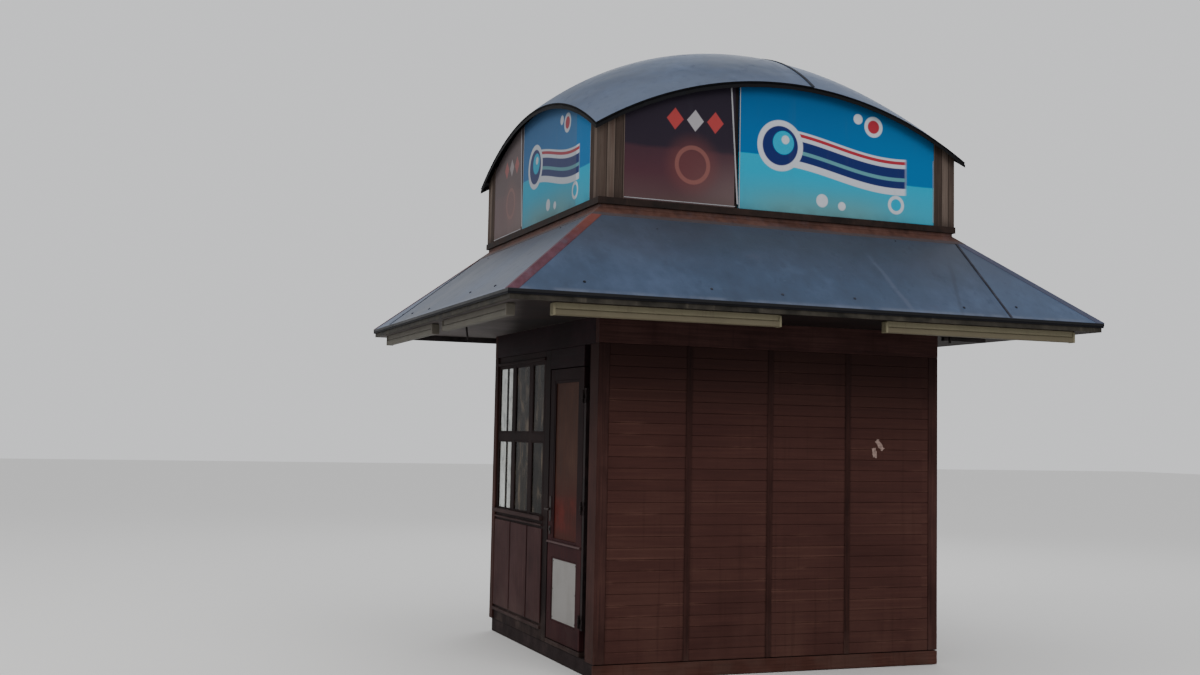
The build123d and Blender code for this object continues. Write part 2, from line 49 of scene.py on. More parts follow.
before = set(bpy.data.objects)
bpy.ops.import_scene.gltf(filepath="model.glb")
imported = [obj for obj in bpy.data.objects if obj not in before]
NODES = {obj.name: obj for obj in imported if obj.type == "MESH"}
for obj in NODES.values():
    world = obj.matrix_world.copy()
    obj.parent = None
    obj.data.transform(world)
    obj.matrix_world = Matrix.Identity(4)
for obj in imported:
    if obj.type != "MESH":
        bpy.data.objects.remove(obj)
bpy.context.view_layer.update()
BODY = "kiosk"
DOOR = "door"


def low(node, axis):
    """Lowest place of a node along X, Y or Z, numbered 0, 1 and 2."""
    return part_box(node)[0][axis]


def high(node, axis):
    """Highest place of a node along X, Y or Z."""
    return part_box(node)[1][axis]


def outer(node, axis, sign):
    """Place of a node's face that looks towards one end of an axis, 1 or -1."""
    return high(node, axis) if sign > 0 else low(node, axis)


def tone(red, green, blue):
    """An sRGB colour, each part 0 to 255, as the linear colour that a shader takes."""
    parts = [part / 255 for part in (red, green, blue)]
    return [p / 12.92 if p <= 0.04045 else ((p + 0.055) / 1.055) ** 2.4 for p in parts]


def linear(colour):
    """A colour for a shader: a tuple is sRGB, each part 0 to 255, and a list or a setting is linear."""
    return tone(*colour) if isinstance(colour, tuple) else colour


def shades(colour, *gains):
    """Darker and lighter shades of an sRGB colour."""
    return [tone(*[part * gain for part in colour]) for gain in gains]


# Shader arithmetic


class Shade:
    """An output socket of a finish, so that shader maths reads as ordinary arithmetic."""

    def __init__(self, finish, socket):
        self.finish = finish
        self.socket = socket

    def _math(self, operation, first, second=0.0):
        return self.finish.node("ShaderNodeMath", {"operation": operation}, {0: first, 1: second})

    def __add__(self, other):
        return self._math("ADD", self, other)

    __radd__ = __add__

    def __sub__(self, other):
        return self._math("SUBTRACT", self, other)

    def __rsub__(self, other):
        return self._math("SUBTRACT", other, self)

    def __mul__(self, other):
        return self._math("MULTIPLY", self, other)

    __rmul__ = __mul__

    def __truediv__(self, other):
        return self._math("DIVIDE", self, other)

    def __pow__(self, other):
        return self._math("POWER", self, other)

    def __lt__(self, other):
        return self._math("LESS_THAN", self, other)

    def __abs__(self):
        return self._math("ABSOLUTE", self)

    def floor(self):
        return self._math("FLOOR", self)

    def least(self, other):
        return self._math("MINIMUM", self, other)

    def rim(self):
        """Distance to the nearer whole number, 0 at a joint and 0.5 in the middle of a board."""
        part = self._math("FRACT", self)
        return part.least(1.0 - part)

    def fade(self, start, end):
        """0 up to start and 1 from end on, with a smooth change between; start may be above end."""
        settings = {"interpolation_type": "SMOOTHSTEP", "clamp": True}
        flip = start > end
        first, last = (end, start) if flip else (start, end)
        made = self.finish.node("ShaderNodeMapRange", settings, {0: self, 1: first, 2: last})
        return 1.0 - made if flip else made


class Finish:
    """A procedural material with one Principled shader; base is its colour so far."""

    def __init__(self, name, specular, **constants):
        self.material = bpy.data.materials.new(name)
        self.material.use_nodes = True
        self.tree = self.material.node_tree
        self.tree.nodes.clear()
        self.surface = self.tree.nodes.new("ShaderNodeBsdfPrincipled")
        output = self.tree.nodes.new("ShaderNodeOutputMaterial")
        self.tree.links.new(self.surface.outputs[0], output.inputs[0])
        for socket, value in {"specular_ior_level": specular, **constants}.items():
            self.surface.inputs[self.label(socket)].default_value = value
        self.place = self.node("ShaderNodeTexCoord", output="Object")
        parts = self.tree.nodes.new("ShaderNodeSeparateXYZ")
        self.feed(parts.inputs[0], self.place)
        self.x, self.y, self.z = (Shade(self, socket) for socket in parts.outputs)
        self.base = None

    @staticmethod
    def label(name):
        """The socket's own name, as Base Color for base_color."""
        return name.replace("_", " ").title().replace("Ior", "IOR")

    def feed(self, socket, value):
        if isinstance(value, Shade):
            self.tree.links.new(value.socket, socket)
        elif socket.type == "RGBA":
            socket.default_value = (*linear(value), 1.0)
        else:
            socket.default_value = value

    def node(self, kind, settings=None, inputs=None, output=0):
        """Any node: its type, its settings, and the values or links of its sockets."""
        made = self.tree.nodes.new(kind)
        for name, value in (settings or {}).items():
            if name == "stops":
                elements = made.color_ramp.elements
                while len(elements) < len(value):
                    elements.new(1.0)
                for element, (position, colour) in zip(elements, value):
                    element.position = position
                    element.color = (*linear(colour), 1.0)
            else:
                setattr(made, name, value)
        for name, value in (inputs or {}).items():
            self.feed(made.inputs[name], value)
        return Shade(self, made.outputs[output])

    def vector(self, x, y, z):
        return self.node("ShaderNodeCombineXYZ", None, {0: x, 1: y, 2: z})

    def noise(self, vector, scale, detail, roughness, distortion):
        inputs = {"Vector": vector, "Scale": scale, "Detail": detail, "Roughness": roughness}
        return self.node("ShaderNodeTexNoise", None, {**inputs, "Distortion": distortion})

    def cloud(self, scale, detail=4.0, roughness=0.55, distortion=0.0):
        """Noise that looks the same along every axis."""
        return self.noise(self.place, scale, detail, roughness, distortion)

    def grain(self, x, y, z, detail=4.0, roughness=0.55, distortion=0.0):
        """Noise with a scale along each axis: a small number gives a long grain."""
        stretched = self.node(
            "ShaderNodeVectorMath", {"operation": "MULTIPLY"}, {0: self.place, 1: (x, y, z)}
        )
        return self.noise(stretched, 1.0, detail, roughness, distortion)

    def random(self, *numbers):
        """A random number for each set of three numbers."""
        settings = {"noise_dimensions": "3D"}
        return self.node("ShaderNodeTexWhiteNoise", settings, {"Vector": self.vector(*numbers)})

    def ramp(self, value, places, *colours):
        """Colours that a value runs through, with their places from 0 to 1."""
        return self.node("ShaderNodeValToRGB", {"stops": tuple(zip(places, colours))}, {0: value})

    def blend(self, share, first, second):
        """Mixes two colours by a share of the second."""
        settings = {"data_type": "RGBA", "blend_type": "MIX", "clamp_factor": True}
        return self.node("ShaderNodeMix", settings, {0: share, 6: first, 7: second}, output=2)

    def coat(self, share, colour):
        """Lays a share of a colour over the base."""
        self.base = self.blend(share, self.base, colour)

    def shadow(self, cloud):
        """How far a place is in the shadow of the eaves, with a cloudy edge."""
        return (self.z + cloud * 0.3).fade(1.75, 2.5)

    def bump(self, height, strength, distance, normal=None):
        inputs = {"Height": height, "Strength": strength, "Distance": distance}
        if normal is not None:
            inputs["Normal"] = normal
        return self.node("ShaderNodeBump", None, inputs)

    def wire(self, **sockets):
        """Feeds the base and other sockets of the shader, as roughness, and gives the material."""
        for name, value in {"base_color": self.base, **sockets}.items():
            self.feed(self.surface.inputs[self.label(name)], value)
        return self.material


# Finishes

BAY_PITCH = 0.653
BAY_SHIFT = 0.072
CORNER_BOARD_WIDTH = 0.0617
FLOOR_BOARD_WIDTH = 0.11
SOFFIT_BOARD_WIDTH = 0.12
PLINTH_TOP_EDGE = 0.1
# Painted light: the dome's sheets are this much lighter than the skirt's, as the dome faces the sky.
DOME_LIT_GAIN = 1.12


def stained_boards(name, along, foot, settings):
    """Dark red-brown stained boards, laid flat, with their own tone, worn lines, dirty joints, painted
    shade beside the battens and painted shade of the eaves towards the top.

    along is the axis the boards run in, 0 for X and 1 for Y.
    """
    f = Finish(name, 0.06)
    row = (f.z - foot) / settings.board_height
    number, edge = row.floor(), row.rim()
    bays = (f.x if along == 0 else f.y) / BAY_PITCH + BAY_SHIFT
    bay = bays.floor()
    own = f.random(number, bay, 3.0)
    rare = f.random(number, bay, 9.0)
    stretch = (2.2, 60.0, 60.0) if along == 0 else (60.0, 2.2, 60.0)
    grain = f.grain(*stretch, 5.0, 0.6, 0.6)
    cloud = f.grain(1.3, 1.3, 2.0, 5.0, 0.6)
    fine = f.grain(*[value * 3 for value in stretch], 3.0, 0.6)
    stains = settings.stain_dark, settings.stain_middle, settings.stain_light
    f.base = f.ramp(grain * 0.42 + own * 0.1 + cloud * 0.48, (0.26, 0.5, 0.76), *stains)
    patchy = f.grain(3.0, 3.0, 14.0, 5.0, 0.6)
    worn = cloud.fade(0.42, 0.62) * edge.fade(0.2, 0.03) * patchy.fade(0.5, 0.66)
    worn = (worn + rare.fade(0.92, 0.97) * edge.fade(0.3, 0.05) * 0.5).least(1.0)
    f.coat(worn * 0.42, settings.stain_worn)
    dusty = f.z.fade(0.7, 0.1) * f.grain(3, 3, 1.2, 6.0).fade(0.35, 0.7)
    f.coat(dusty * 0.32, (92, 66, 58))
    joint = edge.fade(0.05, 0.0)
    f.coat(joint * 0.08, (18, 9, 8))
    drip = f.grain(26, 26, 0.7, 3.0).fade(0.56, 0.72) * cloud.fade(0.35, 0.6)
    f.coat(drip * 0.22, (30, 17, 15))
    if along == 0:
        # Painted shade: dark lines on the boards beside the battens.
        batten_shade = bays.rim() * BAY_PITCH
        f.coat(batten_shade.fade(0.036, 0.024) * (f.x < 1.0) * 0.3, (22, 12, 11))
    # Painted shade of the eaves: darker towards the top.
    f.coat(f.shadow(cloud) * 0.64, (22, 15, 15))
    height = grain * 0.5 + fine * 0.3 - joint
    return f.wire(roughness=0.6 + grain * 0.25 + dusty * 0.1, normal=f.bump(height, 0.5, 0.0016))


def stained_timber(name, along, dark, middle, light, dust=(90, 76, 70), soot=0.0):
    """Stained posts, rails and frames, their grain along one axis; a painted shade, by the share given,
    darkens them under the eaves.
    """
    f = Finish(name, 0.05)
    stretch = [70.0, 70.0, 70.0]
    stretch[along] = 2.4
    grain = f.grain(*stretch, 5.0, 0.6, 0.5)
    cloud = f.cloud(2.3, 5.0, 0.6)
    f.base = f.ramp(grain * 0.5 + cloud * 0.5, (0.32, 0.5, 0.7), dark, middle, light)
    f.coat(f.grain(9, 9, 3, 5.0, 0.65).fade(0.6, 0.72) * grain.fade(0.4, 0.6) * 0.35, light)
    f.coat(f.z.fade(0.5, 0.05) * f.cloud(5.0, 6.0).fade(0.35, 0.7) * 0.4, dust)
    f.coat(f.grain(30, 30, 0.8, 3.0).fade(0.57, 0.72) * 0.3, dark)
    # Painted shade of the eaves: darker towards the top.
    f.coat(f.shadow(cloud) * soot * 0.6, (20, 14, 15))
    return f.wire(roughness=0.5 + grain * 0.3, normal=f.bump(grain, 0.35, 0.0015))


def roof_metal(name, settings, laps=(), seam=None, haze=0.0, folds=()):
    """Blue-grey sheet: cloudy, streaked down the slope, paler on the skirt's sheets beyond their laps, and
    on the dome lighter beyond its lap with painted light.

    laps holds (axis, sign, distance) of each lap on a slope, seam is the place of the dome's lap
    along X, haze is the share of a painted pale sky sheen on a slope, with a darker purple head,
    and folds holds (place along X halfway down, slant, strength, colour) of each faint fold,
    painted as a dark line of shade or a pale line of highlight by its colour.
    """
    f = Finish(name, 0.3, metallic=0.35)
    cloud = f.cloud(1.1, 4.0, 0.5, 0.2)
    patch = f.cloud(5.0, 5.0, 0.6)
    streak = f.grain(9, 9, 1.1, 4.0, 0.6)
    dents = f.grain(2.2, 2.2, 3.0, 2.0, 0.5)
    # Painted light: a lighter copy of the skirt's sheet colours on the dome.
    gain = 1.0 if seam is None else DOME_LIT_GAIN
    sheet = settings.metal_dark, settings.metal_middle, settings.metal_light
    tones = [[part * gain for part in colour] for colour in sheet]
    f.base = f.ramp(cloud * 0.6 + patch * 0.15 + streak * 0.25, (0.22, 0.5, 0.78), *tones)
    if seam is None:
        # Painted reflection of the sign box: greyer towards the head of each slope.
        f.coat((f.z + cloud * 0.3).fade(2.85, 3.3) * 0.6, (58, 60, 66))
        # Painted sky sheen on one slope: paler towards the eave, and darker purple at its head.
        f.coat((f.z + cloud * 0.2).fade(3.2, 2.95) * haze, (132, 129, 125))
        f.coat((f.z + patch * 0.1).fade(3.08, 3.26) * haze * 2.2, (56, 47, 58))
    else:
        # Painted light: the dome's sheet beyond the lap lighter, set at another angle to the sky.
        f.coat(f.x.fade(seam, seam + 0.002) * 0.3, settings.metal_light)
        f.coat(f.y.fade(-0.9, -1.35) * f.z.fade(4.45, 4.15) * 0.4, (104, 116, 138))
    for axis, sign, distance in laps:
        beyond = ((f.x, f.y)[axis] * float(sign)).fade(distance, distance + 0.002)
        f.coat(beyond * 0.18, (84, 104, 136))
    # Painted shade and highlight of creases: a dark or pale line along each fold, by its colour.
    for middle, slant, strength, colour in folds:
        fold = abs(f.x + (patch - 0.5) * 0.05 - middle - (f.z - 2.9) * slant)
        f.coat(fold.fade(0.03, 0.004) * f.z.fade(3.1, 2.9) * strength, colour)
    rust = f.cloud(2.1, 6.0, 0.65).fade(0.6, 0.76) * streak.fade(0.45, 0.62)
    f.coat(rust * 0.3, (88, 72, 66))
    f.coat(f.grain(4, 4, 26, 3.0, 0.7, 1.0).fade(0.7, 0.78) * 0.15, (130, 140, 156))
    grime = f.grain(16, 16, 1.4, 4.0).fade(0.5, 0.75) * patch.fade(0.4, 0.65)
    f.coat(grime * 0.2, (40, 45, 54))
    if seam is None:
        # A pale band just above the eave: worn edge and painted highlight of the rim.
        rim_wear_and_highlight = f.z.fade(EAVE_TOP + 0.03, EAVE_TOP + 0.006) * patch.fade(0.3, 0.6)
        f.coat(rim_wear_and_highlight * 0.45, (104, 110, 126))
        # Painted shade: the sheet near-black on its edge and underside below its top at the eave.
        f.coat(f.z.fade(EAVE_TOP + 0.001, EAVE_TOP - 0.002), (12, 12, 16))
    wave = f.bump(dents, 0.45, 0.022 if seam is None else 0.03)
    normal = f.bump(patch + streak * 0.5, 0.15, 0.002, wave)
    return f.wire(roughness=0.42 + cloud * 0.2 + rust * 0.3 + grime * 0.1, normal=normal)


def red_metal(name, dark, middle, light, bare=0.3, warm=0.0, foot=0.0):
    """Red-brown primer on the hip caps and the flashing, rubbed through to the sheet.

    warm is how far it keeps an orange head on the left side and has faded to the sheet on the
    right; below foot the sheet is bare.
    """
    f = Finish(name, 0.15)
    cloud = f.cloud(4.0, 6.0, 0.65)
    streak = f.grain(24, 24, 3, 5.0, 0.6)
    f.base = f.ramp(cloud * 0.6 + streak * 0.4, (0.34, 0.5, 0.68), dark, middle, light)
    f.coat(f.z.fade(2.9, 3.2) * warm * 0.8, (108, 60, 46))
    f.coat(f.x.fade(0.4, 1.5) * warm, (60, 70, 90))
    f.coat(f.cloud(7.0, 6.0, 0.7).fade(0.52, 0.64) * bare, (80, 84, 98))
    f.coat((f.z + cloud * 0.03).fade(foot + 0.02, foot) * 0.8, (64, 60, 64))
    return f.wire(roughness=0.5 + streak * 0.25, normal=f.bump(cloud + streak, 0.2, 0.0015))


def dark_metal(name, colour):
    """Dull dark paint on drip edges, rails and bands, chalky where it has faded."""
    f = Finish(name, 0.1)
    cloud = f.cloud(7.0, 5.0, 0.6)
    dark, light, chalk = shades(colour, 0.65, 1.35, 2.2)
    f.base = f.ramp(cloud, (0.35, 0.7), dark, light)
    f.coat(f.grain(16, 16, 5, 5.0, 0.65).fade(0.58, 0.72) * 0.3, chalk)
    return f.wire(roughness=0.5 + cloud * 0.3, normal=f.bump(cloud, 0.15, 0.001))


def weathered_boards(name):
    """Grey-brown weathered upright boards at the corners of the sign box."""
    f = Finish(name, 0.05)
    row = (abs(f.x) + abs(f.y)) / CORNER_BOARD_WIDTH
    own = f.random(row.floor(), 1.0, 2.0)
    grain = f.grain(60, 60, 2.4, 6.0, 0.65, 0.7)
    cloud = f.cloud(3.0, 5.0, 0.6)
    tones = (43, 35, 32), (73, 62, 56), (104, 92, 84)
    f.base = f.ramp(grain * 0.5 + own * 0.35 + cloud * 0.15, (0.22, 0.5, 0.8), *tones)
    f.coat(f.grain(18, 18, 1.0, 4.0).fade(0.55, 0.72) * 0.35, (60, 38, 31))
    joint = row.rim().fade(0.08, 0.0)
    f.coat(joint * 0.8, (20, 15, 14))
    f.coat(f.z.fade(3.42, 3.34) * cloud.fade(0.3, 0.6) * 0.5, (38, 30, 28))
    return f.wire(roughness=0.65 + grain * 0.3, normal=f.bump(grain - joint * 2.0, 0.5, 0.002))


def blue_panel(f, across, rise, aspect, settings):
    """Two-tone blue panel with a banner, rings and dots; across and rise go from 0 to 1 over it."""
    pale, navy, red, cyan = (
        settings.print_pale, settings.print_navy, settings.print_red, settings.print_cyan
    )
    upper = f.blend(rise.fade(0.4, 1.0), settings.print_blue, settings.print_deep)
    upper = f.blend(across.fade(0.3, 1.0) * 0.2, upper, settings.print_teal)
    haze = rise.fade(0.32, 0.02) * (0.3 + abs(across - 0.42).fade(0.55, 0.15) * 0.7)
    lower = f.blend(haze, cyan, settings.print_mist)
    crest = f.node("ShaderNodeMath", {"operation": "SINE"}, {0: across * 5.2 + 0.6})
    horizon = (rise - 0.42 - crest * 0.03 + across * 0.1).fade(-0.006, 0.006)
    f.base = f.blend(horizon, lower, upper)
    wave = rise - 0.44 - crest * 0.075
    inside = across.fade(0.13, 0.15) * across.fade(0.86, 0.84)
    for place, half, soft, colour in (
        (wave, 0.15, 0.142, pale),
        (wave + 0.01, 0.085, 0.077, navy),
        (wave - 0.115, 0.016, 0.01, red),
        (wave + 0.02, 0.018, 0.011, settings.print_mist),
    ):
        f.coat(abs(place).fade(half, soft) * inside, colour)
    for centre, height, size, colour in (
        (0.21, 0.52, 0.115, pale),
        (0.21, 0.52, 0.09, navy),
        (0.225, 0.545, 0.055, cyan),
        (0.235, 0.57, 0.022, pale),
        (0.42, 0.12, 0.032, pale),
        (0.52, 0.09, 0.022, pale),
        (0.6, 0.8, 0.026, pale),
        (0.68, 0.75, 0.05, pale),
        (0.68, 0.75, 0.033, red),
        (0.8, 0.14, 0.045, pale),
        (0.8, 0.14, 0.03, cyan),
    ):
        away = across - centre
        above = (rise - height) * aspect
        reach = (away * away + above * above) ** 0.5
        f.coat(reach.fade(size, size - 0.006), colour)
    return f.base


def dark_panel(f, place, rise, cloud):
    """Dark red-brown panel with three lozenges over a ring; place and rise go from 0 to 1 over it."""
    tones = (80, 60, 62), (72, 46, 53), (64, 42, 50), (42, 35, 45), (38, 33, 43)
    f.base = f.ramp(rise * 0.94 + cloud * 0.06, (0.05, 0.24, 0.4, 0.43, 0.85), *tones)
    f.coat(place.fade(0.4, 1.0) * rise.fade(0.5, 0.1) * 0.4, (112, 100, 98))
    away = (place - 0.6) * 3.2
    above = (rise - 0.3) * 3.4
    glow = (away * away + above * above) ** 0.5
    f.coat(glow.fade(0.95, 0.4) * 0.4, (108, 62, 60))
    f.coat(abs(glow - 0.45).fade(0.07, 0.04) * 0.5, (140, 92, 84))
    for centre, colour in ((0.44, (160, 62, 62)), (0.62, (156, 152, 156)), (0.8, (160, 62, 62))):
        lozenge = abs(place - centre) + abs(rise - 0.64) * 0.9
        f.coat(lozenge.fade(0.08, 0.07) * 0.9, colour)
    return f.base


def sign_print(name, node, axis, turn, faded, settings):
    """A faded generic two-part print: a dark panel on the left, a two-tone blue one on the right.

    axis is the one that the face runs along and turn is 1 or -1, so that left is left from outside.
    """
    f = Finish(name, 0.04)
    inner, foot, crown = high(node, axis), low(node, 2), high(node, 2)
    split = settings.panel_split
    u = (f.x if axis == 0 else f.y) * float(turn)
    rise = (f.z - foot) / (crown - foot)
    cloud = f.cloud(3.0, 5.0, 0.6)
    streak = f.grain(9, 9, 1.2, 4.0, 0.6)
    wide = inner - split
    light = blue_panel(f, (u - split) / wide, rise, (crown - foot) / wide, settings)
    dark = f.blend(faded, dark_panel(f, (u + inner) / (split + inner), rise, cloud), (132, 108, 100))
    f.base = f.blend((u - split).fade(-0.001, 0.001), dark, light)
    strip = (u - inner + 0.3).fade(-0.001, 0.001) * settings.edge_strip if axis else 0.0
    f.coat((faded + streak.fade(0.55, 0.75) * 0.08) * (1.0 - strip * 0.7), (84, 87, 91))
    f.coat(rise.fade(0.1, -0.02) * cloud.fade(0.3, 0.6) * 0.35, (72, 62, 56))
    return f.wire(roughness=0.5 + cloud * 0.2, normal=f.bump(cloud, 0.1, 0.003))


def window_glass(name, specular, grime, clear_from=None):
    """Window glass with dust and smears; grime, both dirt and a painted shade of the dark inside, dims
    what lies behind it, up to clear_from along Y.
    """
    f = Finish(name, specular, ior=1.45)
    smear = f.grain(9, 9, 1.2, 5.0, 0.6)
    spots = f.cloud(14.0, 4.0, 0.6)
    blots = f.grain(8, 8, 5, 2.0, 0.5, 0.4)
    tones = (13, 12, 10), (25, 22, 19), (42, 36, 30), (84, 73, 60)
    f.base = f.ramp(smear * 0.4 + blots * 0.6, (0.36, 0.47, 0.55, 0.66), *tones)
    dust = (smear * 0.3 + spots * 0.15).least(0.5)
    # Painted shade: the grime also lays the dark of the kiosk's inside on the glass.
    dirt_and_inside_shade = grime if clear_from is None else f.y.fade(clear_from, clear_from - 0.01) * grime
    return f.wire(roughness=0.12 + smear * 0.2, alpha=0.08 + dust + dirt_and_inside_shade)


def pale_paint(name, colour, rough, streaks):
    """Light paint or plastic with dirt that runs down from above."""
    f = Finish(name, 0.35)
    streak = f.grain(34, 34, 2.0, 4.0, 0.6)
    cloud = f.cloud(4.0, 6.0, 0.6)
    f.base = tone(*colour)
    f.coat(cloud.fade(0.35, 0.65) * 0.35, [part * 0.72 for part in f.base])
    f.coat(streak.fade(0.5, 0.7) * cloud.fade(0.4, 0.6) * streaks, (84, 70, 60))
    return f.wire(roughness=rough + cloud * 0.15, normal=f.bump(cloud, 0.1, 0.001))


def pale_screen(name):
    """Bright white stiff screen with soft grey blots, seen through the glass; it glows with painted light,
    though it is no lamp.
    """
    f = Finish(name, 0.1)
    blots = f.grain(5, 14, 9, 3.0, 0.6).fade(0.5, 0.64)
    edge = f.grain(30, 30, 3, 3.0, 0.6)
    f.base = f.blend(blots * 0.4, (246, 248, 246), (150, 160, 156))
    glow = f.blend(blots * 0.5, (235, 240, 236), (120, 130, 126))
    # Painted light: the screen glows, standing for the bright light behind it.
    return f.wire(
        emission_strength=0.55, emission_color=glow,
        roughness=0.85 + edge * 0.1, normal=f.bump(blots, 0.2, 0.002),
    )


def dim_screen(name):
    """Dark brown stiff screens behind the lights at the back, stained in soft upright streaks."""
    f = Finish(name, 0.05)
    streak = f.grain(12, 12, 1.5, 5.0, 0.6)
    blots = f.cloud(5.0, 5.0, 0.6)
    grit = f.cloud(160.0, 2.0, 0.5)
    tones = (38, 34, 28), (58, 52, 44), (92, 84, 72)
    f.base = f.ramp(streak * 0.6 + blots * 0.4, (0.34, 0.5, 0.68), *tones)
    return f.wire(roughness=0.85, normal=f.bump(grit + streak, 0.2, 0.001))


def worn_steel(name):
    """Handle, hinges and fasteners: dark dull steel with brown in the pits."""
    f = Finish(name, 0.2, metallic=0.35)
    cloud = f.cloud(40.0, 5.0, 0.6)
    f.base = f.ramp(cloud, (0.35, 0.6), (30, 22, 21), (54, 44, 42))
    return f.wire(roughness=0.45 + cloud * 0.3, normal=f.bump(cloud, 0.15, 0.0006))


def plinth_concrete(name):
    """Grey concrete with pores, damp near the ground and a dark band along its top."""
    f = Finish(name, 0.1)
    coarse = f.cloud(5.0, 8.0, 0.65)
    pores = f.cloud(90.0, 3.0, 0.7)
    tones = (27, 20, 20), (43, 34, 34), (62, 50, 49)
    f.base = f.ramp(coarse * 0.7 + pores * 0.3, (0.32, 0.5, 0.68), *tones)
    f.coat(f.z.fade(0.05, 0.0) * coarse.fade(0.3, 0.6) * 0.6, (40, 33, 32))
    f.coat(f.z.fade(PLINTH_TOP_EDGE, PLINTH_TOP_EDGE + 0.008) * 0.5, (30, 24, 23))
    return f.wire(roughness=0.8 + pores * 0.15, normal=f.bump(coarse + pores * 0.4, 0.6, 0.004))


def floor_boards(name):
    """Worn floor boards that run along X."""
    f = Finish(name, 0.2)
    row = f.y / FLOOR_BOARD_WIDTH
    own = f.random(row.floor(), 2.0, 0.0)
    grain = f.grain(3, 50, 50, 5.0, 0.6, 0.5)
    tones = (58, 42, 32), (98, 74, 56), (124, 98, 76)
    f.base = f.ramp(grain * 0.6 + own * 0.4, (0.25, 0.55, 0.8), *tones)
    f.coat(row.rim().fade(0.03, 0.0) * 0.8, (22, 16, 13))
    return f.wire(roughness=0.55 + grain * 0.25, normal=f.bump(grain, 0.3, 0.001))


def soffit_paint(name, colour, brown=0.0):
    """Weathered boards with joints and stains; brown is how far they turn dark brown away from the back
    left corner.
    """
    f = Finish(name, 0.12)
    cloud = f.cloud(2.2, 6.0, 0.62)
    stain = f.cloud(1.1, 5.0, 0.6).fade(0.48, 0.66)
    places = (0.35, 0.55, 0.75)
    f.base = f.ramp(cloud, places, *shades(colour, 0.8, 1.0, 1.15))
    f.coat(stain * 0.3, (60, 52, 48))
    darker_tones = f.ramp(cloud, places, (18, 11, 11), (28, 17, 16), (40, 26, 23))
    # Darker brown away from the back left corner.
    near = (f.y - f.x * 3.3 + cloud * 0.3).fade(5.9, 5.3)
    f.coat(near * brown, darker_tones)
    joint = (f.y / SOFFIT_BOARD_WIDTH).rim().fade(0.04, 0.0)
    f.coat(joint * 0.6, (20, 15, 14))
    return f.wire(roughness=0.75, normal=f.bump(cloud - joint, 0.3, 0.002))


def faded_paper(name):
    """Scraps of a torn notice on the boards."""
    f = Finish(name, 0.1)
    cloud = f.cloud(60.0, 4.0, 0.6)
    f.base = f.ramp(cloud, (0.35, 0.65), (112, 94, 88), (158, 134, 126))
    return f.wire(roughness=0.85, normal=f.bump(cloud, 0.4, 0.001))


def door_timber(name):
    """Stiles and rails of the door: nearly black above and maroon below."""
    f = Finish(name, 0.05)
    grain = f.grain(70, 70, 2.4, 5.0, 0.6, 0.5)
    cloud = f.cloud(2.3, 5.0, 0.6)
    mix = grain * 0.5 + cloud * 0.5
    above = f.ramp(mix, (0.32, 0.5, 0.7), (19, 11, 12), (31, 18, 19), (46, 30, 30))
    below = f.ramp(mix, (0.32, 0.5, 0.7), (34, 16, 18), (50, 25, 27), (68, 38, 38))
    f.base = f.blend((f.z + cloud * 0.3).fade(1.5, 0.95), above, below)
    f.coat(f.z.fade(0.45, 0.12) * f.cloud(5.0, 6.0).fade(0.35, 0.7) * 0.3, (72, 54, 51))
    return f.wire(roughness=0.5 + grain * 0.3, normal=f.bump(grain, 0.35, 0.0015))


def door_board(name):
    """Upper board of the door: brown, turning red towards its foot, with a brighter patch there."""
    f = Finish(name, 0.06)
    grain = f.grain(40, 40, 2.4, 5.0, 0.6, 0.5)
    cloud = f.cloud(2.6, 5.0, 0.6)
    tones = (47, 29, 23), (63, 40, 32), (79, 53, 43)
    f.base = f.ramp(grain * 0.5 + cloud * 0.5, (0.3, 0.5, 0.72), *tones)
    f.coat((f.z + cloud * 0.3).fade(1.6, 1.25) * 0.75, (64, 27, 23))
    height = f.z + cloud * 0.2
    patch = height.fade(1.34, 1.26) * height.fade(1.02, 1.1)
    f.coat(patch * cloud.fade(0.35, 0.55) * 0.6, (98, 32, 26))
    return f.wire(roughness=0.5 + grain * 0.25, normal=f.bump(grain, 0.3, 0.0012))


# Making pieces


def span(axis, depths, places, heights):
    """Two corners of a block: its depths along an axis, its places along the other one, and heights."""
    lowest, highest = [0.0, 0.0, heights[0]], [0.0, 0.0, heights[1]]
    lowest[axis], highest[axis] = min(depths), max(depths)
    lowest[1 - axis], highest[1 - axis] = places
    return lowest, highest


def block(bm, lowest, highest, bevel=0.0, segments=1):
    """Adds a block between two corners, with its edges bevelled."""
    lowest, highest = Vector(lowest), Vector(highest)
    place = Matrix.Translation((lowest + highest) / 2) @ Matrix.Diagonal((*(highest - lowest), 1.0))
    rounded(bm, bmesh.ops.create_cube(bm, size=1.0, matrix=place)["verts"], bevel, segments)


def rounded(bm, verts, bevel, segments):
    """Bevels every edge between some vertices."""
    if bevel:
        bevelled(bm, list({edge for vert in verts for edge in vert.link_edges}), bevel, segments)


def bevelled(bm, edges, width, segments):
    """Bevels some edges of a shape."""
    bmesh.ops.bevel(
        bm, geom=edges, offset=width, offset_type="OFFSET", segments=segments,
        profile=0.5, affect="EDGES", material=-1,
    )


def bar(bm, start, end, facing, width, thickness, bevel=0.0):
    """Adds a flat bar that lies from start to end with its top towards facing."""
    start, end = Vector(start), Vector(end)
    run = (end - start).normalized()
    sideways = Vector(facing).cross(run).normalized()
    turn = Matrix((run, sideways, run.cross(sideways))).transposed().to_4x4()
    size = Matrix.Diagonal(((end - start).length, width, thickness, 1.0))
    place = Matrix.Translation((start + end) / 2) @ turn @ size
    rounded(bm, bmesh.ops.create_cube(bm, size=1.0, matrix=place)["verts"], bevel, 1)


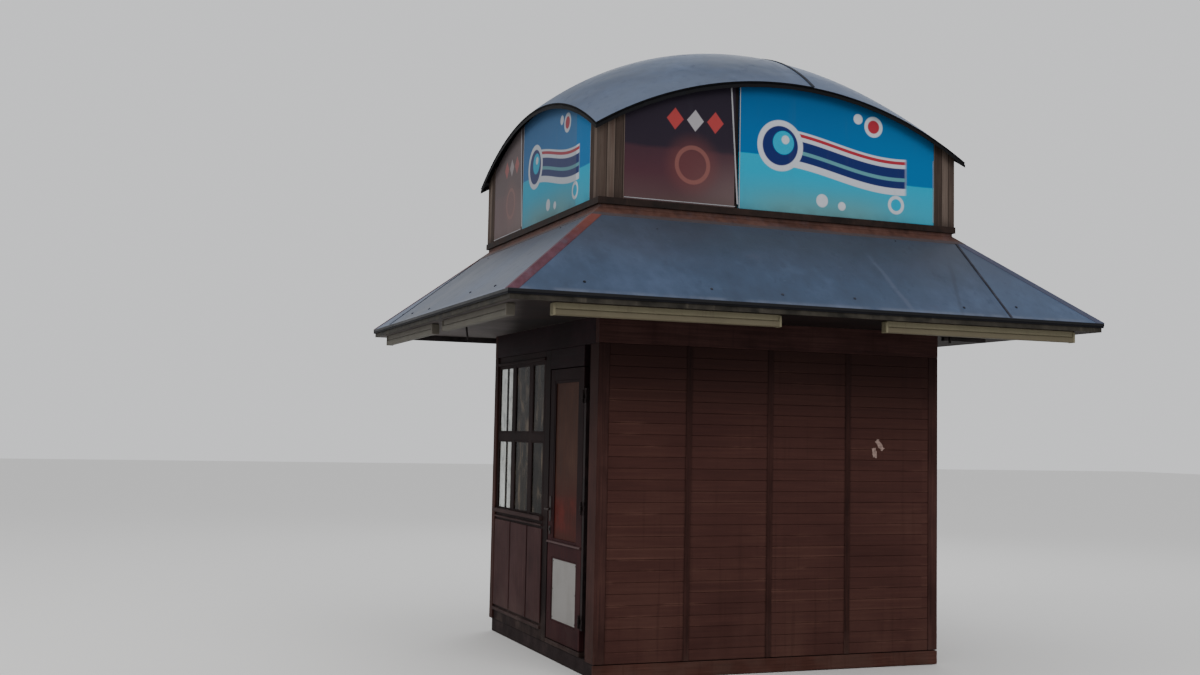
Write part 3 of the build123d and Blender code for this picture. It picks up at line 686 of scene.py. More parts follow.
def border(bm, lowest, highest, axis, width):
    """Adds four blocks round the inside of a flat box that is thin along one axis."""
    across = 1 - axis
    for far_side in (False, True):
        for thin in (across, 2):
            near, far = list(lowest), list(highest)
            if thin == 2:
                near[across] += width
                far[across] -= width
            if far_side:
                near[thin] = highest[thin] - width
            else:
                far[thin] = lowest[thin] + width
            block(bm, near, far, 0.002)


def stud(bm, place, facing, radius):
    """Adds a low domed fastener head that faces outwards."""
    turn = Vector(facing).to_track_quat("Z", "Y").to_matrix().to_4x4()
    matrix = Matrix.Translation(place) @ turn @ Matrix.Diagonal((1.0, 1.0, 0.55, 1.0))
    bmesh.ops.create_uvsphere(bm, u_segments=8, v_segments=5, radius=radius, matrix=matrix)


def tube(bm, start, end, radius, sides):
    """Adds a closed round rod between two points."""
    start, end = Vector(start), Vector(end)
    turn = (end - start).to_track_quat("Z", "Y").to_matrix().to_4x4()
    bmesh.ops.create_cone(
        bm, cap_ends=True, segments=sides, radius1=radius, radius2=radius, depth=(end - start).length,
        matrix=Matrix.Translation((start + end) / 2) @ turn,
    )


def piece(name, bm, material, body=BODY, smooth=False):
    """Turns a bmesh into a finished object that rides on a body."""
    bmesh.ops.recalc_face_normals(bm, faces=bm.faces)
    mesh = bpy.data.meshes.new(name)
    bm.to_mesh(mesh)
    bm.free()
    for polygon in mesh.polygons:
        polygon.use_smooth = smooth
    mesh.materials.append(material)
    made = bpy.data.objects.new(name, mesh)
    bpy.context.scene.collection.objects.link(made)
    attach(made, body)
    return made


def dress(material, node):
    """Gives a CAD node a finish."""
    for slot in NODES[node].material_slots:
        slot.material = material


def merged(node):
    """A copy of a CAD node's mesh with its loose triangles joined."""
    bm = bmesh.new()
    bm.from_mesh(NODES[node].data)
    bmesh.ops.remove_doubles(bm, verts=bm.verts, dist=0.00001)
    return bm


def eased(material, width, *nodes, body=BODY):
    """Stands a copy with eased edges in place of each CAD node, and gives it a finish."""
    for node in nodes:
        bm = merged(node)
        bmesh.ops.dissolve_limit(bm, angle_limit=0.01, verts=bm.verts, edges=bm.edges)
        sharp = [edge for edge in bm.edges if edge.is_manifold and edge.calc_face_angle() > 0.6]
        bevelled(bm, sharp, width, 2)
        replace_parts(piece(f"{node}_eased", bm, material, body), node)


def panes(node, along):
    """(bottom, top, start, end) of each flat pane or lamp of a node."""
    bm = merged(node)
    found, seen = [], set()
    for vert in bm.verts:
        if vert in seen:
            continue
        island, queue = [], [vert]
        seen.add(vert)
        while queue:
            one = queue.pop()
            island.append(one.co.copy())
            for edge in one.link_edges:
                other = edge.other_vert(one)
                if other not in seen:
                    seen.add(other)
                    queue.append(other)
        heights = [co.z for co in island]
        places = [co[along] for co in island]
        found.append((min(heights), max(heights), min(places), max(places)))
    bm.free()
    return sorted(found)


# The skirt roof's slopes, read from the nodes

EAVE = (high("front_skirt_roof", 0), -low("front_skirt_roof", 1))
BOX = (high("sign_box_walls", 0), high("sign_box_walls", 1))
SLOPE_TOP = high("front_skirt_roof", 2)
SHEET = 0.02
EAVE_TOP = low("front_skirt_roof", 2) + SHEET
SLOPE_RISE = SLOPE_TOP - EAVE_TOP
SIDES = {"front": (0, -1), "back": (0, 1), "left": (1, -1), "right": (1, 1)}
LAP_ENDS = {"front": (1,), "back": (-1, 1), "left": (1,), "right": (-1,)}
# Share of the painted pale sky sheen on the left slope.
LEFT_SKY_SHEEN = 0.16
BARE_BELOW = 3.225
# Faint creases on the front slope, painted as a dark line of shade and a pale line of highlight.
FRONT_FOLDS = ((1.2, 0.45, 0.3, (40, 44, 58)), (0.59, -0.2, 0.16, (112, 118, 138)))


def on_slope(side, across, share, lift=0.0):
    """A point on a slope: across along its eave, share from its head (0) to the eave (1), and its lift."""
    along, sign = SIDES[side]
    out = 1 - along
    run = EAVE[out] - BOX[out]
    length = math.hypot(run, SLOPE_RISE)
    point = [0.0, 0.0, SLOPE_TOP - share * SLOPE_RISE + lift * run / length]
    point[along] = across
    point[out] = sign * (BOX[out] + share * run + lift * SLOPE_RISE / length)
    return Vector(point)


# Sizes and colours that a user may change

Length = partial(FloatProperty, unit="LENGTH")
Share = partial(FloatProperty, min=0.0, max=1.0, subtype="FACTOR")
Colour = partial(FloatVectorProperty, min=0.0, max=1.0, subtype="COLOR")
Angle = partial(FloatProperty, subtype="ANGLE")


class KioskTimber(bpy.types.PropertyGroup):
    board_height: Length(
        name="Board Height", description="Height of one board of the cladding with its joint",
        default=(high("right_wall", 2) - low("right_wall", 2)) / 28, min=0.03, max=0.2,
    )
    board_proud: Length(
        name="Board Thickness", description="How far the boards stand out from the wall",
        default=0.007, min=0.002, max=0.01,
    )
    board_bevel: Length(
        name="Board Bevel", description="Bevel along the edges of each board",
        default=0.0018, min=0.0005, max=0.006,
    )
    stain_dark: Colour(
        name="Dark Stain", description="Darkest colour of the boards", default=tone(52, 31, 29)
    )
    stain_middle: Colour(
        name="Stain", description="Main colour of the boards", default=tone(64, 40, 36)
    )
    stain_light: Colour(
        name="Light Stain", description="Lightest colour of the boards", default=tone(77, 51, 45)
    )
    stain_worn: Colour(
        name="Worn Edge", description="Colour of worn board edges", default=tone(100, 70, 61)
    )


class KioskFittings(bpy.types.PropertyGroup):
    bead_width: Length(
        name="Bead Width", description="Width of the beads round the panes",
        default=0.014, min=0.004, max=0.03,
    )
    upright_width: Length(
        name="Upright Width", description="Width of the upright before the pale screens",
        default=0.05, min=0.008, max=0.1,
    )
    # Grime also stands for a painted shade of the dark inside behind the glass.
    grime: Share(name="Grime", description="How far grime dims the lights", default=0.66)
    sill_projection: Length(
        name="Sill Projection", description="How far the sills stand out from the window frames",
        default=0.03, min=0.0, max=0.08,
    )


class KioskRoof(bpy.types.PropertyGroup):
    metal_dark: Colour(
        name="Dark Sheet", description="Darkest colour of the sheets", default=tone(45, 55, 71)
    )
    metal_middle: Colour(
        name="Sheet", description="Main colour of the sheets", default=tone(60, 74, 97)
    )
    metal_light: Colour(
        name="Light Sheet", description="Lightest colour of the sheets", default=tone(85, 102, 132)
    )
    fastener_spacing: Length(
        name="Fastener Spacing", description="Distance between the fasteners along the eaves",
        default=0.75, min=0.1, max=2.0,
    )
    lap_width: Length(
        name="Lap Width", description="Width of the laps between roof sheets",
        default=0.022, min=0.005, max=0.06,
    )
    lap_slant: Length(
        name="Lap Slant", description="How far the laps run outwards on their way to the eave",
        default=0.03, min=0.0, max=0.3,
    )
    dome_steps: IntProperty(
        name="Dome Steps", description="Divisions of the dome along each side",
        default=72, min=12, max=160,
    )


class KioskSigns(bpy.types.PropertyGroup):
    panel_split: Length(
        name="Panel Split", description="Place of the joint between a face's panels", default=-0.404
    )
    print_blue: Colour(name="Blue", description="Blue of the print", default=tone(8, 92, 146))
    print_deep: Colour(name="Deep Blue", description="Blue at its head", default=tone(8, 80, 128))
    print_teal: Colour(name="Teal", description="Blue towards one side", default=tone(18, 118, 164))
    print_cyan: Colour(name="Cyan", description="Cyan of the print", default=tone(6, 148, 180))
    print_mist: Colour(name="Mist", description="Faded cyan at its foot", default=tone(84, 136, 144))
    print_pale: Colour(name="Pale", description="Pale shapes on it", default=tone(180, 184, 192))
    print_navy: Colour(name="Navy", description="Dark blue shapes on it", default=tone(30, 40, 92))
    print_red: Colour(name="Red", description="Red shapes on it", default=tone(150, 44, 56))
    edge_strip: Share(
        name="Edge Strip", description="Share of fresh colour at the edge of the short faces",
        default=1.0,
    )


class KioskStage(bpy.types.PropertyGroup):
    camera_place: FloatVectorProperty(
        name="Camera Place", description="Where the camera stands", default=(-4.769, -10.0017, 1.6863),
        subtype="TRANSLATION", size=3,
    )
    camera_yaw: Angle(
        name="Yaw", description="Turn of the view from +Y towards +X", default=math.radians(21.0836)
    )
    camera_pitch: Angle(
        name="Pitch", description="Upward tilt of the view", default=math.radians(4.1263)
    )
    camera_roll: Angle(
        name="Roll", description="How far its right side is raised", default=math.radians(1.1625)
    )
    focal_length: FloatProperty(
        name="Focal Length", description="Lens length on a 36 mm sensor",
        default=40.465, min=10.0, max=200.0,
    )


# Operators


class KIOSK_OT_stage(bpy.types.Operator):
    """Sets up the pale floor, the soft studio light and the camera"""

    bl_idname = "kiosk.stage"
    bl_label = "Stage"

    def execute(self, context):
        settings = context.scene.kiosk_stage
        add = context.scene.collection.objects.link
        bm = bmesh.new()
        bmesh.ops.create_grid(bm, x_segments=1, y_segments=1, size=60.0)
        mesh = bpy.data.meshes.new("studio_floor")
        bm.to_mesh(mesh)
        bm.free()
        floor = bpy.data.objects.new("studio_floor", mesh)
        paper = Finish("studio_floor", 0.1, roughness=0.9)
        paper.base = (226, 225, 223)
        mesh.materials.append(paper.wire())
        add(floor)

        world = bpy.data.worlds.new("studio")
        world.use_nodes = True
        background = world.node_tree.nodes["Background"].inputs
        background["Color"].default_value = (*tone(240, 241, 243), 1.0)
        background["Strength"].default_value = 0.96
        context.scene.world = world
        for name, place, aim, size, power, colour in (
            ("key", (-9.0, -1.0, 10.0), (0.0, 0.0, 2.6), 6.0, 360.0, (1.0, 0.99, 0.97)),
            ("front", (1.0, -9.5, 8.0), (0.0, 0.0, 1.6), 6.0, 300.0, (1.0, 0.99, 0.98)),
            ("back", (5.0, 9.0, 9.0), (0.0, 0.0, 3.4), 7.0, 280.0, (0.94, 0.97, 1.0)),
        ):
            data = bpy.data.lights.new(name, "AREA")
            data.shape = "DISK"
            data.size = size
            data.energy = power
            data.color = colour
            light = bpy.data.objects.new(name, data)
            turn = (Vector(aim) - Vector(place)).to_track_quat("-Z", "Y").to_matrix().to_4x4()
            light.matrix_world = Matrix.Translation(place) @ turn
            add(light)

        data = bpy.data.cameras.new("photo_view")
        data.sensor_width = 36.0
        data.lens = settings.focal_length
        camera = bpy.data.objects.new("photo_view", data)
        turn = Euler((math.pi / 2 + settings.camera_pitch, 0.0, -settings.camera_yaw)).to_matrix()
        roll = Matrix.Rotation(settings.camera_roll, 3, "Z")
        camera.matrix_world = Matrix.Translation(settings.camera_place) @ (turn @ roll).to_4x4()
        add(camera)
        context.scene.camera = camera
        return {"FINISHED"}


class KIOSK_OT_base(bpy.types.Operator):
    """Finishes the plinth, floor, threshold and ceiling"""

    bl_idname = "kiosk.base"
    bl_label = "Base"

    def execute(self, context):
        eased(plinth_concrete("plinth_concrete"), 0.006, "plinth")
        dress(floor_boards("floor_boards"), "floor")
        sill = stained_timber("threshold_timber", 1, (30, 22, 21), (48, 36, 34), (68, 54, 50))
        eased(sill, 0.003, "threshold")
        dress(soffit_paint("ceiling_paint", (140, 132, 124)), "ceiling")
        return {"FINISHED"}


class KIOSK_OT_cladding(bpy.types.Operator):
    """Lays the horizontal boards on the front and right walls"""

    bl_idname = "kiosk.cladding"
    bl_label = "Cladding"

    END_GAP = 0.001
    HALF_JOINT = 0.0005
    UNEVENNESS = 0.0012

    def execute(self, context):
        settings = context.scene.kiosk_timber
        chance = random.Random(4)
        front = stained_boards("front_boards", 0, low("front_wall_bay_1", 2), settings)
        side = stained_boards("side_boards", 1, low("right_wall", 2), settings)
        walls = [(f"front_boards_{bay}", f"front_wall_bay_{bay}", 1, -1, front) for bay in range(1, 5)]
        for name, node, axis, sign, material in (*walls, ("right_boards", "right_wall", 0, 1, side)):
            bm = bmesh.new()
            self.boards(bm, node, axis, sign, settings, chance)
            piece(name, bm, material)
            dress(material, node)
        self.scraps(low("front_wall_bay_4", 1) - settings.board_proud - 0.0006)
        return {"FINISHED"}

    def boards(self, bm, node, axis, sign, settings, chance):
        """A wall's boards with a thin gap between them, none quite as proud as the next."""
        face = outer(node, axis, sign)
        places = low(node, 1 - axis) + self.END_GAP, high(node, 1 - axis) - self.END_GAP
        bottom, top = low(node, 2), high(node, 2)
        count = round((top - bottom) / settings.board_height)
        pitch = (top - bottom) / count
        for row in range(count):
            proud = settings.board_proud - chance.uniform(0, self.UNEVENNESS)
            foot = bottom + row * pitch
            heights = foot + self.HALF_JOINT, foot + pitch - self.HALF_JOINT
            block(bm, *span(axis, (face, face + sign * proud), places, heights), settings.board_bevel)

    def scraps(self, face):
        """Two torn scraps of paper on the front boards."""
        bm = bmesh.new()
        for x, z, width, height, turn in (
            (0.885, 1.649, 0.032, 0.09, -0.6), (0.837, 1.592, 0.034, 0.07, -0.1)
        ):
            place = Matrix.Translation((x, face, z)) @ Matrix.Rotation(turn, 4, "Y")
            upright = Matrix.Rotation(math.pi / 2, 4, "X")
            matrix = place @ upright @ Matrix.Diagonal((width / 2, height / 2, 1.0, 1.0))
            made = bmesh.ops.create_grid(bm, x_segments=4, y_segments=5, size=1.0, matrix=matrix)
            chance = random.Random(round(x * 1000))
            for vert in made["verts"]:
                vert.co.x += chance.uniform(-0.006, 0.006)
                vert.co.z += chance.uniform(-0.006, 0.006)
                vert.co.y -= chance.uniform(0.0, 0.0012)
        bmesh.ops.solidify(bm, geom=bm.faces, thickness=0.0004)
        piece("notice_scraps", bm, faded_paper("faded_paper"))


class KIOSK_OT_frames(bpy.types.Operator):
    """Finishes the posts, battens, beams and jambs"""

    bl_idname = "kiosk.frames"
    bl_label = "Frames"

    def execute(self, context):
        worn = {"dust": (78, 62, 56)}
        # Posts and battens take a painted shade of the eaves at their tops.
        eave_shaded = {**worn, "soot": 1.0}
        base = (50, 30, 26), (68, 42, 36), (86, 57, 50)
        for name, along, tones, extra, width, *nodes in (
            ("post_timber", 2, ((40, 24, 22), (58, 37, 34), (76, 51, 46)), eave_shaded, 0.005,
             "post_front_left", "post_front_right", "post_back_left", "post_back_right"),
            ("batten_timber", 2, ((37, 22, 20), (51, 31, 28), (65, 42, 38)), eave_shaded, 0.002,
             "front_battens", "right_battens"),
            ("base_timber", 0, base, worn, 0.003, "front_base_board"),
            ("side_base_timber", 1, base, worn, 0.003, "right_base_board"),
            ("length_timber", 0, ((38, 24, 23), (54, 35, 33), (70, 48, 45)), {}, 0.003,
             "front_beam", "back_beam"),
            ("depth_timber", 1, ((20, 12, 14), (31, 19, 22), (46, 31, 35)), {}, 0.003,
             "left_beam", "right_beam", "door_head"),
            # The jambs' near-black tones are a painted shade of the door's recess.
            ("jamb_timber", 2, ((17, 11, 11), (28, 19, 19), (45, 33, 32)), {}, 0.003,
             "hinge_jamb", "latch_jamb"),
        ):
            eased(stained_timber(name, along, *tones, **extra), width, *nodes)
        return {"FINISHED"}


class KIOSK_OT_windows(bpy.types.Operator):
    """Makes the window frames, beads, screens, sills and apron mouldings"""

    bl_idname = "kiosk.windows"
    bl_label = "Windows"

    # Bottom, top and share of the sill projection of the sill, the mould below it and the foot rail
    SILLS = ((1.018, 1.05, 1.0), (0.974, 0.99, 0.5), (0.19, 0.216, 0.6))
    HEAD_MOULD = (2.256, 2.28, 0.4)
    BEAD_DEPTH = 0.007
    SCREEN_THICKNESS = 0.003
    SCREEN_MARGIN = 0.004
    SCREEN_FOOT = 0.006

    def execute(self, context):
        settings = context.scene.kiosk_fittings
        timber = stained_timber("window_timber", 2, (20, 12, 12), (31, 20, 20), (46, 32, 31))
        panel = stained_timber("apron_boards", 2, (40, 25, 25), (59, 38, 38), (77, 55, 54))
        rails = [
            stained_timber(name, along, (36, 25, 25), (53, 39, 38), (74, 58, 56))
            for name, along in (("sill_timber", 1), ("back_sill_timber", 0))
        ]
        eased(timber, 0.003, "left_window_frame", "back_window_frame")
        eased(panel, 0.003, "left_aprons", "back_aprons")
        last = max((start, end) for bottom, top, start, end in panes("left_glass", 1))
        left = window_glass("left_window_glass", 0.03, settings.grime, last[0])
        dress(left, "left_glass")
        dress(window_glass("back_window_glass", 0.1, settings.grime), "back_glass")
        self.screens(timber, settings.upright_width / 2, last)
        for side, axis, sign in (("left", 0, -1), ("back", 1, 1)):
            along = 1 - axis
            window = f"{side}_window_frame"
            face = outer(window, axis, sign)
            glass = outer(f"{side}_glass", axis, sign)
            beads, sills = bmesh.new(), bmesh.new()
            for bottom, top, start, end in panes(f"{side}_glass", along):
                depths = glass, glass + sign * self.BEAD_DEPTH
                corners = span(axis, depths, (start, end), (bottom, top))
                border(beads, *corners, axis, settings.bead_width)
            places = low(window, along), high(window, along)
            rows = [(sills, *sill) for sill in self.SILLS]
            for made, bottom, top, share in (*rows, (beads, *self.HEAD_MOULD)):
                depths = face - sign * 0.004, face + sign * settings.sill_projection * share
                block(made, *span(axis, depths, places, (bottom, top)), 0.004)
            piece(f"{side}_glazing_beads", beads, timber)
            piece(f"{side}_sills", sills, rails[axis])
        return {"FINISHED"}

    def screens(self, timber, half, last):
        """Pale screens behind the last lights, an upright before them, and dim screens at the back."""
        pale, upright, dim = bmesh.new(), bmesh.new(), bmesh.new()
        inside = high("left_glass", 0)
        middle, margin = sum(last) / 2, self.SCREEN_MARGIN
        for bottom, top, start, end in panes("left_glass", 1):
            if start > last[0] - 0.01:
                self.screen(pale, 0, inside + 0.004, last[0] + margin, last[1] - margin, bottom, top)
                self.screen(upright, 0, inside + 0.001, middle - half, middle + half, bottom, top)
        inside = low("back_glass", 1)
        for bottom, top, start, end in panes("back_glass", 0):
            self.screen(dim, 1, inside - 0.007, start + margin, end - margin, bottom, top)
        piece("window_screens", pale, pale_screen("pale_screen"))
        piece("window_screen_upright", upright, timber)
        piece("back_window_screens", dim, dim_screen("dim_screen"))

    def screen(self, bm, axis, depth, start, end, bottom, top):
        """One thin stiff board behind a pane."""
        depths = depth, depth + self.SCREEN_THICKNESS
        block(bm, *span(axis, depths, (start, end), (bottom + self.SCREEN_FOOT, top - self.SCREEN_FOOT)))


class KIOSK_OT_door(bpy.types.Operator):
    """Finishes the door leaf and its fittings"""

    bl_idname = "kiosk.door"
    bl_label = "Door"

    SCREW_INSET = 0.026
    SCREW_MARGIN = 0.03
    MIDDLE_SCREW = 0.5275
    LOCK_FOOT, LOCK_TOP = 0.93, 0.99
    CYLINDER_HEIGHT = 0.965

    def execute(self, context):
        timber = door_timber("door_timber")
        eased(timber, 0.003, "door_frame", body=DOOR)
        dress(door_board("door_board"), "door_upper_board")
        dress(pale_paint("door_sheet", (130, 127, 124), 0.5, 0.2), "door_sheet")
        eased(pale_paint("weather_bar", (70, 46, 45), 0.6, 0.4), 0.002, "door_weather_bar", body=DOOR)
        steel = worn_steel("door_steel")
        dress(steel, "door_handle")
        hinge = dark_metal("hinge_metal", (34, 26, 26))
        dress(hinge, "door_hinges")
        eased(hinge, 0.002, "jamb_hinges")
        for node, width, depth in (("door_upper_board", 0.022, 0.008), ("door_sheet", 0.012, 0.005)):
            bm = bmesh.new()
            lowest, highest = (list(corner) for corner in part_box(node))
            lowest[0], highest[0] = lowest[0] - depth, lowest[0]
            border(bm, lowest, highest, 0, width)
            piece(f"{node}_bead", bm, timber, DOOR)
        self.screws(steel)
        self.lock(steel)
        return {"FINISHED"}

    def screws(self, steel):
        """Three screws down each side of the pale sheet."""
        bm = bmesh.new()
        (near, left, bottom), (_, right, top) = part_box("door_sheet")
        for y in (left + self.SCREW_INSET, right - self.SCREW_INSET):
            for z in (bottom + self.SCREW_MARGIN, self.MIDDLE_SCREW, top - self.SCREW_MARGIN):
                stud(bm, (near, y, z), (-1, 0, 0), 0.005)
        piece("door_sheet_screws", bm, steel, DOOR)

    def lock(self, steel):
        """A lock plate below the handle, with its cylinder and keyway."""
        bm = bmesh.new()
        face = low("door_frame", 0)
        y, z = high("door_handle", 1) - 0.021, self.CYLINDER_HEIGHT
        plate = (face - 0.005, y - 0.02, self.LOCK_FOOT), (face, y + 0.02, self.LOCK_TOP)
        block(bm, *plate, 0.002, 2)
        tube(bm, (face - 0.011, y, z), (face - 0.003, y, z), 0.012, 20)
        block(bm, (face - 0.0115, y - 0.0015, z - 0.007), (face - 0.0105, y + 0.0015, z + 0.007))
        piece("door_lock", bm, steel, DOOR)


class KIOSK_OT_eaves(bpy.types.Operator):
    """Finishes the soffit and fascia, and makes the drip edge, brackets and strip lights"""

    bl_idname = "kiosk.eaves"
    bl_label = "Eaves"

    COVER_SHARE = 0.52
    CAP_LENGTH = 0.02
    PLATE_HALF, CLIP_HALF, CLIP_HALF_DEPTH = 0.035, 0.006, 0.012

    def execute(self, context):
        dress(soffit_paint("soffit_paint", (84, 78, 77), brown=1.0), "soffit")
        dress(dark_metal("fascia_paint", (46, 43, 38)), "eave_fascia")
        edge = dark_metal("drip_metal", (13, 13, 18))
        bm = bmesh.new()
        foot = EAVE_TOP - SHEET
        for along, sign in SIDES.values():
            face = sign * (EAVE[1 - along] - 0.003)
            places = -EAVE[along] + 0.001, EAVE[along] - 0.001
            heights = foot - 0.014, foot + 0.004
            block(bm, *span(1 - along, (face, face - sign * 0.004), places, heights), 0.001)
        piece("drip_edge", bm, edge)

        for side, along, body, cover in (
            ("front", 0, (112, 106, 84), (92, 85, 66)), ("left", 1, (84, 79, 70), (76, 72, 62))
        ):
            node = f"{side}_strip_lights"
            bodies, covers = bmesh.new(), bmesh.new()
            for bottom, top, start, end in panes(node, along):
                self.lamp(bodies, covers, node, along, (start, end), bottom, top)
            housing = pale_paint(f"{side}_lamp_housing", body, 0.6, 0.4)
            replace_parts(piece(f"{side}_lamp_bodies", bodies, housing), node)
            diffuser = pale_paint(f"{side}_lamp_diffuser", cover, 0.6, 0.3)
            piece(f"{side}_lamp_covers", covers, diffuser)
        self.brackets(dark_metal("bracket_metal", (44, 40, 40)))
        return {"FINISHED"}

    def lamp(self, bodies, covers, node, along, ends, bottom, top):
        """One strip light: a tray with end caps, and a cover below it."""
        out = 1 - along
        split = bottom + (top - bottom) * self.COVER_SHARE
        start, end = ends
        for made, places, inset, heights, bevel, segments in (
            (bodies, (start + 0.006, end - 0.006), 0.009, (split, top), 0.002, 1),
            (covers, (start + 0.008, end - 0.008), 0.003, (bottom + 0.002, split - 0.0005), 0.01, 4),
            (bodies, (start, start + self.CAP_LENGTH), 0.0, (bottom, top - 0.004), 0.006, 3),
            (bodies, (end - self.CAP_LENGTH, end), 0.0, (bottom, top - 0.004), 0.006, 3),
        ):
            depths = low(node, out) + inset, high(node, out) - inset
            block(made, *span(out, depths, places, heights), bevel, segments)

    def brackets(self, metal):
        """Small clips, a rod and bars that hang from the soffit beside the walls."""
        bm = bmesh.new()
        z = low("soffit", 2)
        left, beam = low("soffit", 0), high("left_beam", 1)
        wall, corner = high("post_front_right", 0), low("post_back_left", 0)
        for x, y, drop in ((left + 0.1, 0.36, 0.06), (wall + 0.09, -1.28, 0.075)):
            front, back = y - self.CLIP_HALF_DEPTH, y + self.CLIP_HALF_DEPTH
            for half, foot, head in ((self.PLATE_HALF, 0.005, 0.0), (self.CLIP_HALF, drop, 0.004)):
                block(bm, (x - half, front, z - foot), (x + half, back, z - head), 0.001)
        tube(bm, (corner - 0.52, 0.34, z), (corner - 0.5, 0.36, z - 0.1), 0.008, 8)
        block(bm, (left + 0.05, beam + 0.3, z - 0.045), (corner + 0.1, beam + 0.34, z), 0.003)
        block(bm, (wall + 0.25, -0.98, z - 0.03), (wall + 0.65, -0.94, z), 0.003)
        piece("soffit_brackets", bm, metal)


class KIOSK_OT_skirt_roof(bpy.types.Operator):
    """Finishes the skirt roof and makes its laps, folds and fasteners"""

    bl_idname = "kiosk.skirt_roof"
    bl_label = "Skirt Roof"

    # Shares of the slope where a lap starts and ends, its lift off the sheets and the thicknesses
    LAP_HEAD, LAP_FOOT = 0.03, 0.996
    LAP_LIFT = 0.0015
    LAP_THICKNESS, FOLD_THICKNESS = 0.003, 0.0042

    def execute(self, context):
        settings = context.scene.kiosk_roof
        laps, edges, studs = bmesh.new(), bmesh.new(), bmesh.new()
        chance = random.Random(11)
        width, spacing = settings.lap_width, settings.fastener_spacing
        for side, ends in LAP_ENDS.items():
            along = SIDES[side][0]
            lap, eave = BOX[along], EAVE[along]
            dress(roof_metal(
                f"{side}_skirt_metal", settings, [(along, end, lap) for end in ends],
                haze=LEFT_SKY_SHEEN if side == "left" else 0.0, folds=FRONT_FOLDS if side == "front" else (),
            ), f"{side}_skirt_roof")
            facing = (on_slope(side, 0.0, 0.5, 1.0) - on_slope(side, 0.0, 0.5)).normalized()
            for end in ends:
                start = on_slope(side, end * lap, self.LAP_HEAD, self.LAP_LIFT)
                reach = end * (lap + settings.lap_slant)
                finish = on_slope(side, reach, self.LAP_FOOT, self.LAP_LIFT)
                bar(laps, start, finish, facing, width, self.LAP_THICKNESS, 0.001)
                rise = facing * 0.0005
                bar(edges, start + rise, finish + rise, facing, width * 0.4, self.FOLD_THICKNESS, 0.001)
            for count, reach, shares, radius in (
                (round(2 * (eave - 0.12) / spacing), eave - 0.2, (0.84, 0.93), 0.011),
                (round(lap / spacing), lap, (0.12, 0.24), 0.0065),
            ):
                for number in range(count):
                    across = reach * (2 * (number + chance.uniform(0.2, 0.8)) / count - 1)
                    stud(studs, on_slope(side, across, chance.uniform(*shares), 0.001), facing, radius)
        piece("skirt_laps", laps, dark_metal("lap_metal", (36, 36, 42)))
        fold = red_metal("lap_edge_metal", (28, 27, 34), (42, 42, 52), (66, 64, 74))
        piece("skirt_lap_edges", edges, fold)
        piece("roof_fasteners", studs, dark_metal("fastener_metal", (44, 46, 54)), smooth=True)
        hips = red_metal("hip_metal", (62, 34, 42), (80, 48, 58), (98, 68, 80), 0.3, 0.85)
        dress(hips, "hip_caps")
        tones = (50, 32, 27), (74, 49, 42), (92, 66, 59)
        dress(red_metal("flashing_metal", *tones, 0.1, foot=BARE_BELOW), "sign_box_flashing")
        return {"FINISHED"}


class KIOSK_OT_sign_box(bpy.types.Operator):
    """Finishes the sign box and its print, and makes its trim"""

    bl_idname = "kiosk.sign_box"
    bl_label = "Sign Box"

    ARCH_FALL = 0.035

    def execute(self, context):
        settings = context.scene.kiosk_signs
        eased(dark_metal("box_backing", (34, 25, 22)), 0.002, "sign_rail")
        dress(dark_metal("box_walls", (24, 20, 20)), "sign_box_walls")
        dress(weathered_boards("corner_boards"), "sign_corner_boards")
        trim, strips = pale_paint("trim_strip", (146, 146, 150), 0.6, 0.3), bmesh.new()
        for side, turn, faded in (
            ("front", 1, 0.0), ("back", -1, 0.05), ("left", -1, 0.4), ("right", 1, 0.1)
        ):
            node = f"{side}_sign_boards"
            axis, sign = SIDES[side]
            dress(sign_print(f"{side}_print", node, axis, turn, faded, settings), node)
            self.trim(strips, node, axis, sign, turn, settings.panel_split)
        piece("sign_trim", strips, trim)
        return {"FINISHED"}

    def trim(self, bm, node, axis, sign, turn, split):
        """Thin pale strips at the edges of the blue panel, one of them loose and leaning."""
        out = 1 - axis
        inner, foot = high(node, axis), low(node, 2)
        head = high(node, 2) - self.ARCH_FALL
        facing = Vector((0.0, 0.0, 0.0))
        facing[out] = sign

        def point(u, z):
            place = [0.0, 0.0, z]
            place[axis] = turn * u
            place[out] = outer(node, out, sign) + sign * 0.001
            return place

        for start, end, width in (
            ((split + 0.022, foot + 0.004), (split + 0.022, head), 0.007),
            ((split + 0.008, foot + 0.03), (split - 0.052, head - 0.01), 0.012),
            ((inner - 0.006, foot + 0.02), (inner - 0.006, foot + 0.5), 0.004),
            ((-inner + 0.004, foot + 0.012), (split - 0.01, foot + 0.012), 0.006),
        ):
            bar(bm, point(*start), point(*end), facing, width, 0.003, 0.0008)


